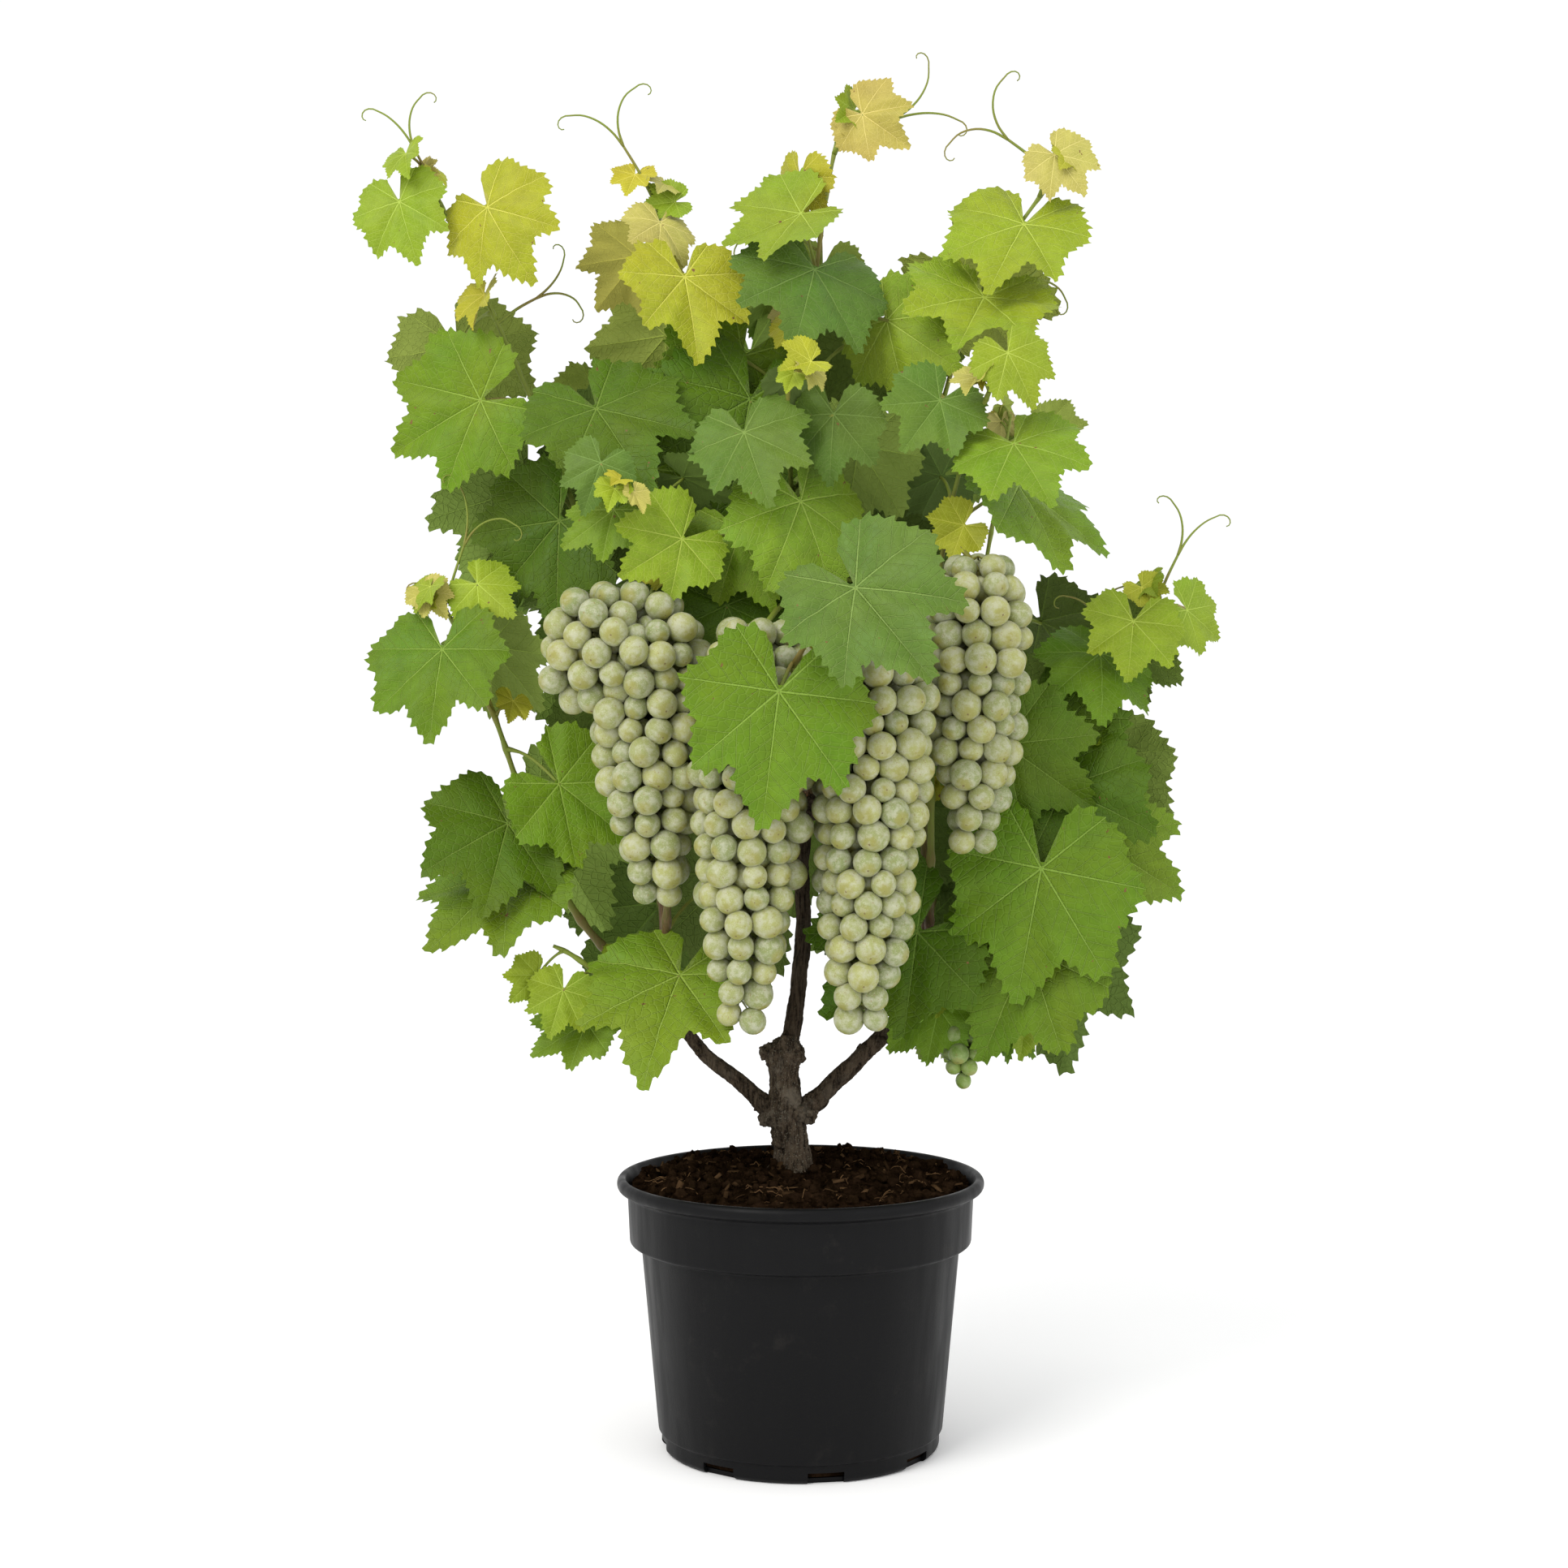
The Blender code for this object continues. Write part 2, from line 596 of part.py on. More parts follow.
def tendril(rng, root, out, length):
    """Tubes of one tendril: a stalk and two arms that part and curl."""
    stalk_end = root + out * length * 0.45 + Vector((0, 0, 0.08 * length))
    tubes = [([root, root.lerp(stalk_end, 0.5) + Vector((0, 0, 0.02 * length)), stalk_end],
              [TENDRIL_RADIUS * 1.3, TENDRIL_RADIUS * 1.15, TENDRIL_RADIUS])]
    ahead = (stalk_end - root).normalized()
    for way in (-1, 1):
        tilt = Vector((rng.uniform(-0.3, 0.3), -1, rng.uniform(-0.3, 0.3)))
        axis = ahead.cross(tilt).normalized().cross(ahead)
        point, aim = stalk_end - ahead * 0.001, ahead.copy()
        points = [point]
        bend = way * rng.uniform(0.10, 0.28)
        for step in range(TENDRIL_STEPS):
            aim.rotate(Quaternion(axis, bend * (1 + 0.45 * step)))
            point = point + aim * length * 0.55 / TENDRIL_STEPS
            points.append(point)
        radii = [TENDRIL_RADIUS * (1 - 0.35 * i / TENDRIL_STEPS) for i in range(TENDRIL_STEPS + 1)]
        tubes.append((points, radii))
    return tubes


def grow_tendrils(name, cane, start, space):
    grown = []
    for i in range(cane.tendrils):
        for attempt in range(ATTEMPTS):
            rng = random.Random(cane.seed * 7919 + i * 211 + attempt)
            t = 0.985 - 0.16 * i - rng.uniform(0, 0.03)
            side = 1 if (i + cane.seed) % 2 else -1
            out = heading(90 - side * rng.uniform(60, 120), rng.uniform(10, 75))
            tubes = tendril(rng, on_axis(cane, start, t), out, rng.uniform(0.075, 0.105))
            shapes = [tube(points, radii, 3) for points, radii in tubes]
            if all(space.free(*shape, skip=(name,)) for shape in shapes):
                grown += shapes
                for shape in shapes:
                    space.add(name + "_tendril", *shape)
                break
    return grown


def cane_stem(cane, start):
    radii = [cane_radius(0)] + [cane_radius(i / CANE_STEPS) for i in range(CANE_STEPS + 1)]
    return tube(cane_axis(cane, start), radii, CANE_SIDES)


# Bunches.


def bunch_radius(width, s):
    """Radius of a bunch at share s of its length: round shoulders, then a long taper."""
    return width * min(1.0, 0.66 + 3.2 * s) * (1 - 0.64 * s ** 3)


def bunch_berries(bunch, size):
    """Centres of the berries: rows round the bunch's stem, each row turned against the last."""
    rng = random.Random(bunch.seed)
    stems = [(Vector(bunch.top), Vector(bunch.foot), bunch.width)]
    if bunch.wing:
        shoulder = Vector(bunch.top) + Vector((bunch.wing * WING_ROOT[0], 0, WING_ROOT[1]))
        stems.append((shoulder, shoulder + Vector((bunch.wing * WING_REACH[0], 0, WING_REACH[1])),
                      bunch.width * WING_WIDTH))
    centres = []
    for top, foot, width in stems:
        length = (foot - top).length
        along = (foot - top).normalized()
        across = along.orthogonal().normalized()
        other = along.cross(across)
        rows = max(2, int(length / (1.55 * size)))
        for row in range(rows + 1):
            s = row / rows
            ring = bunch_radius(width, s) - size
            count = max(1, int(2 * math.pi * ring / (1.85 * size))) if ring > 0.45 * size else 1
            turn = row * 2.4 + rng.uniform(-0.2, 0.2)
            for i in range(count):
                angle = turn + 2 * math.pi * i / count
                out = ring * rng.uniform(0.90, 1.06) if count > 1 else 0.0
                place = top + along * (length * s + rng.uniform(-0.15, 0.15) * size)
                place += out * (math.cos(angle) * across + math.sin(angle) * other)
                if all((place - c).length > 1.25 * size for c in centres):
                    centres.append(place)
    return stems, centres


def bunch_pieces(bunch, size, cane, start, cane_tree):
    stems, centres = bunch_berries(bunch, size)
    pieces = []
    for top, foot, width in stems:
        count = 5
        points = [top.lerp(foot, i / (count - 1)) for i in range(count)]
        cores = [max(0.0035, bunch_radius(width, i / (count - 1)) - 1.15 * size) for i in range(count)]
        cores[0] *= 0.7
        cores[-1] *= 0.7
        pieces.append(tube(points, cores, 7))
    hang = on_axis(cane, start, bunch.along)
    aim = (Vector(bunch.top) - hang).normalized()
    begin = seat(cane_tree, hang, aim, BUNCH_STALK)
    pieces.append(tube([begin, begin.lerp(Vector(bunch.top), 0.5) + Vector((0, 0, 0.004)),
                        Vector(bunch.top) + Vector((0, 0, -0.006))], [BUNCH_STALK] * 3, 4))
    rng = random.Random(bunch.seed + 100)
    for centre in centres:
        pieces.append(ball(centre, size, 1, rng.uniform(0, 2)))
    return pieces


def mesh_of(obj):
    return [v.co.copy() for v in obj.data.vertices], [tuple(p.vertices) for p in obj.data.polygons]


def main():
    start_scene()
    black = material("pot_plastic", (0.014, 0.014, 0.014), 0.45)
    earth = material("soil", (0.020, 0.012, 0.007), 0.95)
    bark = material("bark", (0.060, 0.045, 0.032), 0.85)
    green = material("foliage", (0.13, 0.24, 0.04), 0.55)
    fruit = material("grapes", (0.55, 0.52, 0.26), 0.45)
    unripe = material("green_grapes", (0.15, 0.22, 0.03), 0.45)
    make_pot(black)
    make_soil(earth)
    make_trunk(bark)
    heads, space, starts, stems, fruit_cells = {}, Space(), {}, {}, set()
    for head, name, shape in (("leader", "leader", LEADER), ("left", "arm_left", LEFT_ARM),
                              ("right", "arm_right", RIGHT_ARM)):
        arm, centre = make_arm(name, shape, bark)
        heads[head] = (bvh(*mesh_of(arm)), centre)
        space.add(name, *mesh_of(arm))
    for name, cane in CANES.items():
        tree, centre = heads[cane.head]
        starts[name] = seat(tree, centre, heading(*cane.leave), CANE_RADIUS)
        stems[name] = cane_stem(cane, starts[name])
        space.add(name, *stems[name])
    for bunches, size, finish in ((BUNCHES, BERRY_RADIUS, fruit),
                                  (GREEN_BUNCHES, GREEN_BERRY_RADIUS, unripe)):
        for name, bunch in bunches.items():
            bearer = bunch.cane
            pieces = bunch_pieces(bunch, size, CANES[bearer], starts[bearer], bvh(*stems[bearer]))
            verts, faces = mesh_of(fuse(name, pieces, finish))
            space.add(name, verts, faces)
            fruit_cells |= {light_cell(v) for v in verts}
    shade = {1: set(), -1: set()}
    for name, cane in CANES.items():
        if name == AFTER_FRUIT:
            shade[1] |= fruit_cells
        leaves = grow_leaves(name, cane, starts[name], space, shade)
        pieces = [stems[name]]
        for leaf in leaves:
            pieces += [blade(leaf), leaf_stalk(leaf)]
        pieces += grow_tendrils(name, cane, starts[name], space)
        fuse(name, pieces, green)
        print(name, len(leaves), "leaves")


if __name__ == "__main__":
    main()
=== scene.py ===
import random
from collections import namedtuple
from math import cos, exp, hypot, pi, radians, sin, sqrt, tau

import bpy
import numpy as np
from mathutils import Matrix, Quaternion, Vector
from mathutils.bvhtree import BVHTree
from mathutils.kdtree import KDTree
from mathutils.noise import noise


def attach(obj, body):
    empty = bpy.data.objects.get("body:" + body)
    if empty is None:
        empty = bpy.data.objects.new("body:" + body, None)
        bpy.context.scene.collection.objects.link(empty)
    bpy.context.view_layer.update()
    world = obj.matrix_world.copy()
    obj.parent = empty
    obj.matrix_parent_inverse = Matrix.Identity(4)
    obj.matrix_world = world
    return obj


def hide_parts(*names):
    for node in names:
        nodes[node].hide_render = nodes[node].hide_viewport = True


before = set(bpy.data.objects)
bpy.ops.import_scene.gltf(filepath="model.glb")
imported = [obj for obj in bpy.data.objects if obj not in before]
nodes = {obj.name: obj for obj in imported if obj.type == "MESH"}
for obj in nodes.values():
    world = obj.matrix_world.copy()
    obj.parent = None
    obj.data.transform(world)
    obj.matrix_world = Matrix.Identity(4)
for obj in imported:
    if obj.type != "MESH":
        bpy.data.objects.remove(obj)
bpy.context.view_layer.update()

# ------------------------ pot
# The pot is a ten-litre nursery container, injection moulded in black polypropylene. It has a
# rolled rim, a deep band below it so that pots nest, a slightly tapering wall, and a foot ring
# that is notched where it drains. It stands on the floor and everything else stands in it.

POT_HEIGHT = 0.2065
POT_RIM = 0.140
POT_BAND = 0.1320
POT_BAND_FOOT = 0.1302
POT_BAND_HEIGHT = 0.157
POT_BODY_TOP = 0.1215
POT_BODY_FOOT = 0.1085
POT_FOOT = 0.1060
POT_FOOT_HEIGHT = 0.0147
POT_WALL = 0.0022
POT_STEPS = 192
NOTCHES = 8
NOTCH_TURN = radians(9.8)
NOTCH_SIZE = (0.012, 0.027, 0.010)
NOTCH_HEIGHT = 0.0035
POT_LIP = 0.0090
POT_FLOOR = 0.0028
POT_ROUNDING = 0.0022
SHARP_EDGE = radians(42)
BLACK, DUST = (0.0038, 0.0038, 0.0042), (0.038, 0.033, 0.028)


class Nodes:
    """A node tree and short ways to add to it; every input takes a value or a socket."""

    def __init__(self, tree):
        self.tree, self.here = tree, None

    def put(self, socket, value):
        if isinstance(value, bpy.types.NodeSocket):
            self.tree.links.new(value, socket)
        else:
            opaque = socket.type == "RGBA" and len(value) == 3
            socket.default_value = (*value, 1.0) if opaque else value

    def add(self, kind, inputs=None, **settings):
        made = self.tree.nodes.new("ShaderNode" + kind)
        for key, value in settings.items():
            setattr(made, key, value)
        for key, value in (inputs or {}).items():
            self.put(made.inputs[key], value)
        return made

    def calc(self, operation, *values):
        return self.add("Math", dict(enumerate(values)), operation=operation).outputs[0]

    def plus(self, a, b):
        return self.calc("ADD", a, b)

    def less(self, a, b):
        return self.calc("SUBTRACT", a, b)

    def times(self, a, b):
        return self.calc("MULTIPLY", a, b)

    def ramp(self, value, low, high, start=0.0, end=1.0, kind="SMOOTHSTEP"):
        """The value carried from low..high to start..end."""
        return self.add("MapRange", {"Value": value, "From Min": low, "From Max": high, "To Min": start,
                                     "To Max": end}, interpolation_type=kind).outputs["Result"]

    def mix(self, share, first, second):
        """The first colour, with this share of the second."""
        return self.add("Mix", {0: share, 6: first, 7: second}, data_type="RGBA").outputs[2]

    def noise(self, scale, detail=3.0, roughness=0.5, stretch=None):
        """The value of a noise in the object's own space, which may be stretched."""
        if self.here is None:
            self.here = self.add("TexCoord").outputs["Object"]
        at = self.add("Mapping", {"Vector": self.here, "Scale": stretch}).outputs[0] if stretch else self.here
        return self.add("TexNoise", {"Vector": at, "Scale": scale, "Detail": detail,
                                     "Roughness": roughness}).outputs["Fac"]

    def carried(self, name):
        """A value that every point of the mesh carries."""
        return self.add("Attribute", attribute_name=name).outputs["Fac"]

    def relief(self, height, distance):
        """The normal of a bump of this height, in metres from its lowest to its highest."""
        return self.add("Bump", {"Height": height, "Distance": distance, "Strength": 1.0}).outputs["Normal"]


class Finish(Nodes):
    """A Principled material; the names of its inputs are written with _ for a space."""

    def __init__(self, name, **inputs):
        self.material = bpy.data.materials.new(name)
        self.material.use_nodes = True
        super().__init__(self.material.node_tree)
        self.feed(**inputs)

    def feed(self, **inputs):
        for key, value in inputs.items():
            self.put(self.tree.nodes["Principled BSDF"].inputs[key.replace("_", " ")], value)


def add_mesh(name, verts, faces, finish, smooth=True):
    """A mesh object from points and faces."""
    mesh = bpy.data.meshes.new(name)
    mesh.from_pydata(np.asarray(verts, float).tolist(), [], [tuple(face) for face in faces])
    mesh.materials.append(finish.material)
    if smooth:
        mesh.shade_smooth()
    made = bpy.data.objects.new(name, mesh)
    bpy.context.scene.collection.objects.link(made)
    return made


def declare(piece, slot, *replaced):
    """The piece stands on the plant's one body in place of the nodes it stands for."""
    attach(piece, "root")
    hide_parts(*replaced)


def rounded(corners, radius, steps=4):
    """A profile with each of its inner corners rounded off."""
    corners = [Vector(c) for c in corners]
    path = [corners[0]]
    for before, corner, after in zip(corners, corners[1:], corners[2:]):
        cut = min(radius, (before - corner).length * 0.45, (after - corner).length * 0.45)
        first = corner + (before - corner).normalized() * cut
        last = corner + (after - corner).normalized() * cut
        for i in range(steps + 1):
            t = i / steps
            path.append(first.lerp(corner, t).lerp(corner.lerp(last, t), t))
    return path + [corners[-1]]


def lathe(profile, steps):
    """Points and faces of a profile of (radius, height) turned about Z, its ends on the axis."""
    turn = np.linspace(0, 2 * np.pi, steps, endpoint=False)
    body = profile[1:-1]
    verts = [(r * c, r * s, z) for r, z in body for c, s in zip(np.cos(turn), np.sin(turn))]
    low, high = len(verts), len(verts) + 1
    verts += [(0, 0, profile[0][1]), (0, 0, profile[-1][1])]
    faces = []
    for k in range(steps):
        nxt = (k + 1) % steps
        faces.append((low, nxt, k))
        for j in range(len(body) - 1):
            faces.append((j * steps + k, j * steps + nxt, (j + 1) * steps + nxt, (j + 1) * steps + k))
        last = (len(body) - 1) * steps
        faces.append((high, last + k, last + nxt))
    return verts, faces


pot_profile = rounded((
    (0.0, 0.0), (POT_FOOT - 0.003, 0.0), (POT_FOOT, 0.003), (POT_FOOT, POT_FOOT_HEIGHT - 0.001),
    (POT_BODY_FOOT, POT_FOOT_HEIGHT), (POT_BODY_TOP, POT_BAND_HEIGHT - 0.002),
    (POT_BAND_FOOT, POT_BAND_HEIGHT), (POT_BAND, POT_HEIGHT - POT_LIP - 0.003),
    (POT_RIM - 0.0012, POT_HEIGHT - POT_LIP), (POT_RIM, POT_HEIGHT - POT_LIP + 0.0025),
    (POT_RIM, POT_HEIGHT - 0.003), (POT_RIM - 0.0022, POT_HEIGHT),
    (POT_RIM - 0.0060, POT_HEIGHT), (POT_BAND - POT_WALL, POT_HEIGHT - POT_LIP),
    (POT_BAND_FOOT - POT_WALL, POT_BAND_HEIGHT + 0.002),
    (POT_BODY_TOP - POT_WALL, POT_BAND_HEIGHT - 0.0005), (POT_BODY_FOOT - POT_WALL, POT_FOOT_HEIGHT),
    (POT_FOOT - POT_WALL - 0.001, 0.0035), (0.0, POT_FLOOR),
), POT_ROUNDING)
black = Finish("pot_plastic", Roughness=0.42, Specular_IOR_Level=0.11)
grain, scuffs = black.noise(900.0, 2.0), black.noise(1.0, 4.0, stretch=(60, 60, 9))
dusty = black.times(black.ramp(black.noise(35.0, 6.0, 0.7), 0.56, 0.75), 0.16)
black.feed(Base_Color=black.mix(dusty, BLACK, DUST), Roughness=black.ramp(scuffs, 0.3, 0.7, 0.36, 0.52),
           Normal=black.relief(black.plus(black.times(grain, 0.35), scuffs), 0.00022))
pot = add_mesh("pot_shell", *lathe(pot_profile, POT_STEPS), black)
for i in range(NOTCHES):
    angle = NOTCH_TURN - pi / 2 + tau * i / NOTCHES
    bpy.ops.mesh.primitive_cube_add(size=1, rotation=(0, 0, angle), scale=NOTCH_SIZE, location=(
        cos(angle) * POT_FOOT, sin(angle) * POT_FOOT, NOTCH_HEIGHT))
    cutter = bpy.context.object
    cut = pot.modifiers.new("Notch", "BOOLEAN")
    cut.operation = "DIFFERENCE"
    cut.object = cutter
    notched = bpy.data.meshes.new_from_object(pot.evaluated_get(bpy.context.evaluated_depsgraph_get()))
    pot.modifiers.remove(cut)
    pot.data = notched
    bpy.data.objects.remove(cutter, do_unlink=True)
pot.data.shade_smooth()
pot.data.set_sharp_from_angle(angle=SHARP_EDGE)
declare(pot, "pot_plastic", "pot")

# ------------------------ soil
# The soil is a dark peat and bark compost, filled to just under the rim and heaped a little round
# the trunk. It is a crumbly bed with loose crumbs, bark chips and pale root fibres on its top.

SOIL_RADIUS = 0.1285
SOIL_HEAP = ((0.0, 0.2118), (0.034, 0.2112), (0.065, 0.2100), (0.100, 0.2078), (0.120, 0.2035),
             (SOIL_RADIUS, 0.2010))
SOIL_SIDE = ((0.1190, 0.150), (0.1055, 0.016), (0.1010, 0.0045))
LUMPS = ((0.0050, 45, 1.0), (0.0036, 120, 5.0), (0.0018, 330, 9.0))  # height, how many to a metre, salt
SOIL_RINGS = 100
SOIL_STEPS = 240
SOIL_SEED = 11
CRUMBS, CHIPS, FIBRES = 900, 90, 150
CRUMB_REACH, CHIP_REACH, FIBRE_REACH, FIBRE_END = 0.124, 0.122, 0.120, 0.126
FIBRE_STEPS = 5
PEAT, LOAM = (0.0045, 0.0025, 0.0012), (0.021, 0.0115, 0.0062)
FLECK, DRY = (0.060, 0.033, 0.016), (0.20, 0.115, 0.055)


def soil_height(x, y):
    """The top of the compost: a low heap, broken up by crumbs of three sizes."""
    r = hypot(x, y)
    level = np.interp(r, *zip(*SOIL_HEAP))
    calm = min(1.0, max(0.0, (SOIL_RADIUS - r) / 0.02)) * min(1.0, 0.25 + r / 0.05)
    return level + calm * sum(high * noise(Vector((x * many, y * many, salt)))
                              for high, many, salt in LUMPS)


def somewhere(rng, reach):
    """A place drawn evenly from a disc of this radius."""
    r, a = reach * sqrt(rng.random()), rng.uniform(0, tau)
    return r * cos(a), r * sin(a)


def strips(count, steps, first=0):
    """The faces of so many strips between rings of points, from the point numbered first."""
    return [(low + k, low + (k + 1) % steps, low + steps + (k + 1) % steps, low + steps + k)
            for low in range(first, first + count * steps, steps) for k in range(steps)]


def round_axis(across, other, angle):
    """The direction at this angle in the plane of two others."""
    return cos(angle) * across + sin(angle) * other


def tube(points, radii, sides):
    """Points and faces of a closed tube along the points."""
    verts = []
    along = (points[1] - points[0]).normalized()
    across = along.orthogonal().normalized()
    for i, point in enumerate(points):
        ahead = (points[min(i + 1, len(points) - 1)] - points[max(i - 1, 0)]).normalized()
        across = along.rotation_difference(ahead) @ across
        along = ahead
        other = along.cross(across)
        verts += [point + radii[i] * round_axis(across, other, tau * s / sides) for s in range(sides)]
    top = (len(points) - 1) * sides
    return verts, strips(len(points) - 1, sides) + [tuple(reversed(range(sides))),
                                                    tuple(range(top, top + sides))]


def carry(made, name, values, kind="FLOAT", field="value"):
    """Gives every point of a mesh a value of its own."""
    layer = made.data.attributes.new(name, kind, "POINT")
    layer.data.foreach_set(field, np.asarray(values, np.float32).ravel())


class Pile:
    """Many shapes gathered into one mesh, each with a value for all its points or one for each."""

    def __init__(self):
        self.verts, self.faces, self.values = [], [], []

    def add(self, shape, value=0.0):
        verts, faces = shape
        low = len(self.verts)
        self.verts += [tuple(v) for v in verts]
        self.faces += [tuple(low + i for i in face) for face in faces]
        self.values += value if isinstance(value, list) else [value] * len(verts)

    def make(self, name, finish, attribute):
        made = add_mesh(name, self.verts, self.faces, finish)
        carry(made, attribute, self.values)
        return made


def unit_ball(level):
    """Points and faces of a ball of radius 1: an icosahedron divided level times."""
    gold = (1 + 5 ** 0.5) / 2
    verts = [Vector(v).normalized() for v in (
        (-1, gold, 0), (1, gold, 0), (-1, -gold, 0), (1, -gold, 0), (0, -1, gold), (0, 1, gold),
        (0, -1, -gold), (0, 1, -gold), (gold, 0, -1), (gold, 0, 1), (-gold, 0, -1), (-gold, 0, 1))]
    faces = [(0, 11, 5), (0, 5, 1), (0, 1, 7), (0, 7, 10), (0, 10, 11), (1, 5, 9), (5, 11, 4), (11, 10, 2),
             (10, 7, 6), (7, 1, 8), (3, 9, 4), (3, 4, 2), (3, 2, 6), (3, 6, 8), (3, 8, 9), (4, 9, 5),
             (2, 4, 11), (6, 2, 10), (8, 6, 7), (9, 8, 1)]
    for _ in range(level):
        halves, finer = {}, []
        for face in faces:
            middle = []
            for a, b in zip(face, face[1:] + face[:1]):
                key = (min(a, b), max(a, b))
                if key not in halves:
                    halves[key] = len(verts)
                    verts.append((verts[a] + verts[b]).normalized())
                middle.append(halves[key])
            a, b, c = face
            x, y, z = middle
            finer += [(a, x, z), (b, y, x), (c, z, y), (x, y, z)]
        faces = finer
    return np.array(verts), faces


peat = Finish("compost", Roughness=0.95, Specular_IOR_Level=0.0)
dark = peat.mix(peat.ramp(peat.noise(70.0, 5.0, 0.65), 0.36, 0.66), PEAT, LOAM)
flecks = peat.ramp(peat.noise(420.0, 3.0, 0.6), 0.60, 0.72)
speckled = peat.mix(peat.times(flecks, 0.5), dark, FLECK)
peat.feed(Base_Color=peat.mix(peat.carried("dry"), speckled, DRY),
          Normal=peat.relief(peat.noise(600.0, 5.0, 0.7), 0.0016))

soil = Pile()
turns = [tau * k / SOIL_STEPS for k in range(SOIL_STEPS)]
bed = [(0.0, 0.0, soil_height(0.0, 0.0))]
for j in range(1, SOIL_RINGS + 1):
    r = SOIL_RADIUS * j / SOIL_RINGS
    bed += [(r * cos(a), r * sin(a), soil_height(r * cos(a), r * sin(a))) for a in turns]
bed += [(r * cos(a), r * sin(a), z) for r, z in SOIL_SIDE for a in turns]
bed_faces = [(0, 1 + k, 1 + (k + 1) % SOIL_STEPS) for k in range(SOIL_STEPS)]
bed_faces += [(a, d, c, b) for a, b, c, d in strips(SOIL_RINGS + len(SOIL_SIDE) - 1, SOIL_STEPS, 1)]
soil.add((bed, bed_faces))
rng = random.Random(SOIL_SEED)
lump, lump_faces = unit_ball(1)
for i in range(CRUMBS):
    x, y = somewhere(rng, CRUMB_REACH)
    size = 0.0011 + 0.0036 * rng.random() ** 3
    centre = Vector((x, y, soil_height(x, y) + size * 0.25))
    shape = [centre + size * (1 + 0.9 * noise(Vector(v) * 1.6 + Vector((i, 0, 0)))) * Vector(v)
             for v in lump]
    soil.add((shape, lump_faces), 0.05 * rng.random())
for i in range(CHIPS):
    x, y = somewhere(rng, CHIP_REACH)
    turn = Quaternion((rng.uniform(-1, 1), rng.uniform(-1, 1), rng.uniform(-3, 3)), rng.uniform(0, 6))
    size = Vector((rng.uniform(0.002, 0.0065), rng.uniform(0.001, 0.0024), 0.0006))
    corners = [Vector((sx * size.x * rng.uniform(0.7, 1.1), sy * size.y, sz * size.z))
               for sx in (-1, 1) for sy in (-1, 1) for sz in (-1, 1)]
    turn.normalize()
    centre = Vector((x, y, soil_height(x, y) + 0.0012))
    soil.add(([centre + turn @ c for c in corners],
              [(0, 1, 3, 2), (4, 6, 7, 5), (0, 4, 5, 1), (2, 3, 7, 6), (0, 2, 6, 4), (1, 5, 7, 3)]),
             0.15 + 0.35 * rng.random())
for i in range(FIBRES):
    point = Vector((*somewhere(rng, FIBRE_REACH), 0.0))
    way, length = rng.uniform(0, tau), 0.004 + 0.018 * rng.random() ** 2
    path = []
    for step in range(FIBRE_STEPS + 1):
        rise = 0.0008 + 0.0022 * sin(pi * step / FIBRE_STEPS) * rng.random()
        path.append(Vector((point.x, point.y, soil_height(point.x, point.y) + rise)))
        point += Vector((cos(way), sin(way), 0)) * length / FIBRE_STEPS
        way += rng.uniform(-0.5, 0.5)
    if hypot(path[-1].x, path[-1].y) < FIBRE_END:
        soil.add(tube(path, [rng.uniform(0.0002, 0.0005)] * len(path), 4), rng.uniform(0.25, 1.0))
declare(soil.make("compost", peat, "dry"), "soil", "soil")

# ------------------------ woody frame
# The trunk, its two arms and the leader above it are old wood under grey-brown, stringy, fissured
# bark. Old cuts have healed into knobs on the trunk, short dead spurs stand on the arms, and each
# arm ends in a knob where its canes are borne. Painted shade darkens the wood: most on the leader,
# less on the spurs, the arms and the old cuts, none on the trunk.

UP = Vector((0, 0, 1))
HEAD_RADIUS = 0.0115
BARK_RELIEF = 0.16
WOOD = {  # the points of each limb: x, z and radius
    "trunk": ((-0.006, 0.2100, 0.0185), (-0.006, 0.2160, 0.0146), (-0.007, 0.228, 0.0122),
              (-0.009, 0.244, 0.0130), (-0.011, 0.256, 0.0160), (-0.012, 0.268, 0.0125),
              (-0.013, 0.282, 0.0106), (-0.013, 0.292, 0.0130), (-0.012, 0.301, 0.0138),
              (-0.010, 0.308, 0.0098)),
    "leader": ((-0.008, 0.3085, 0.0068), (-0.003, 0.340, 0.0062), (0.002, 0.391, 0.0057),
               (0.001, 0.440, 0.0053), (0.003, 0.480, 0.0058)),
    "left": ((-0.034, 0.2660, 0.0066), (-0.048, 0.279, 0.0056), (-0.070, 0.296, 0.0050),
             (-0.084, 0.312, 0.0050), (-0.098, 0.336, 0.0052)),
    "right": ((0.016, 0.2675, 0.0070), (0.037, 0.288, 0.0066), (0.062, 0.312, 0.0062),
              (0.090, 0.342, 0.0058)),
}
LIMBS = (("trunk", 120, 64, 0.0), ("leader", 170, 32, 0.75), ("left", 120, 32, 0.25),
         ("right", 120, 32, 0.25))  # limb, rings, sides, how much painted shade it carries
FORK = Vector((-0.011, 0.0, 0.247))
FORK_RADIUS = 0.0095
LEADER_SUNK, LEADER_FOOT = UP * 0.012, 0.0085
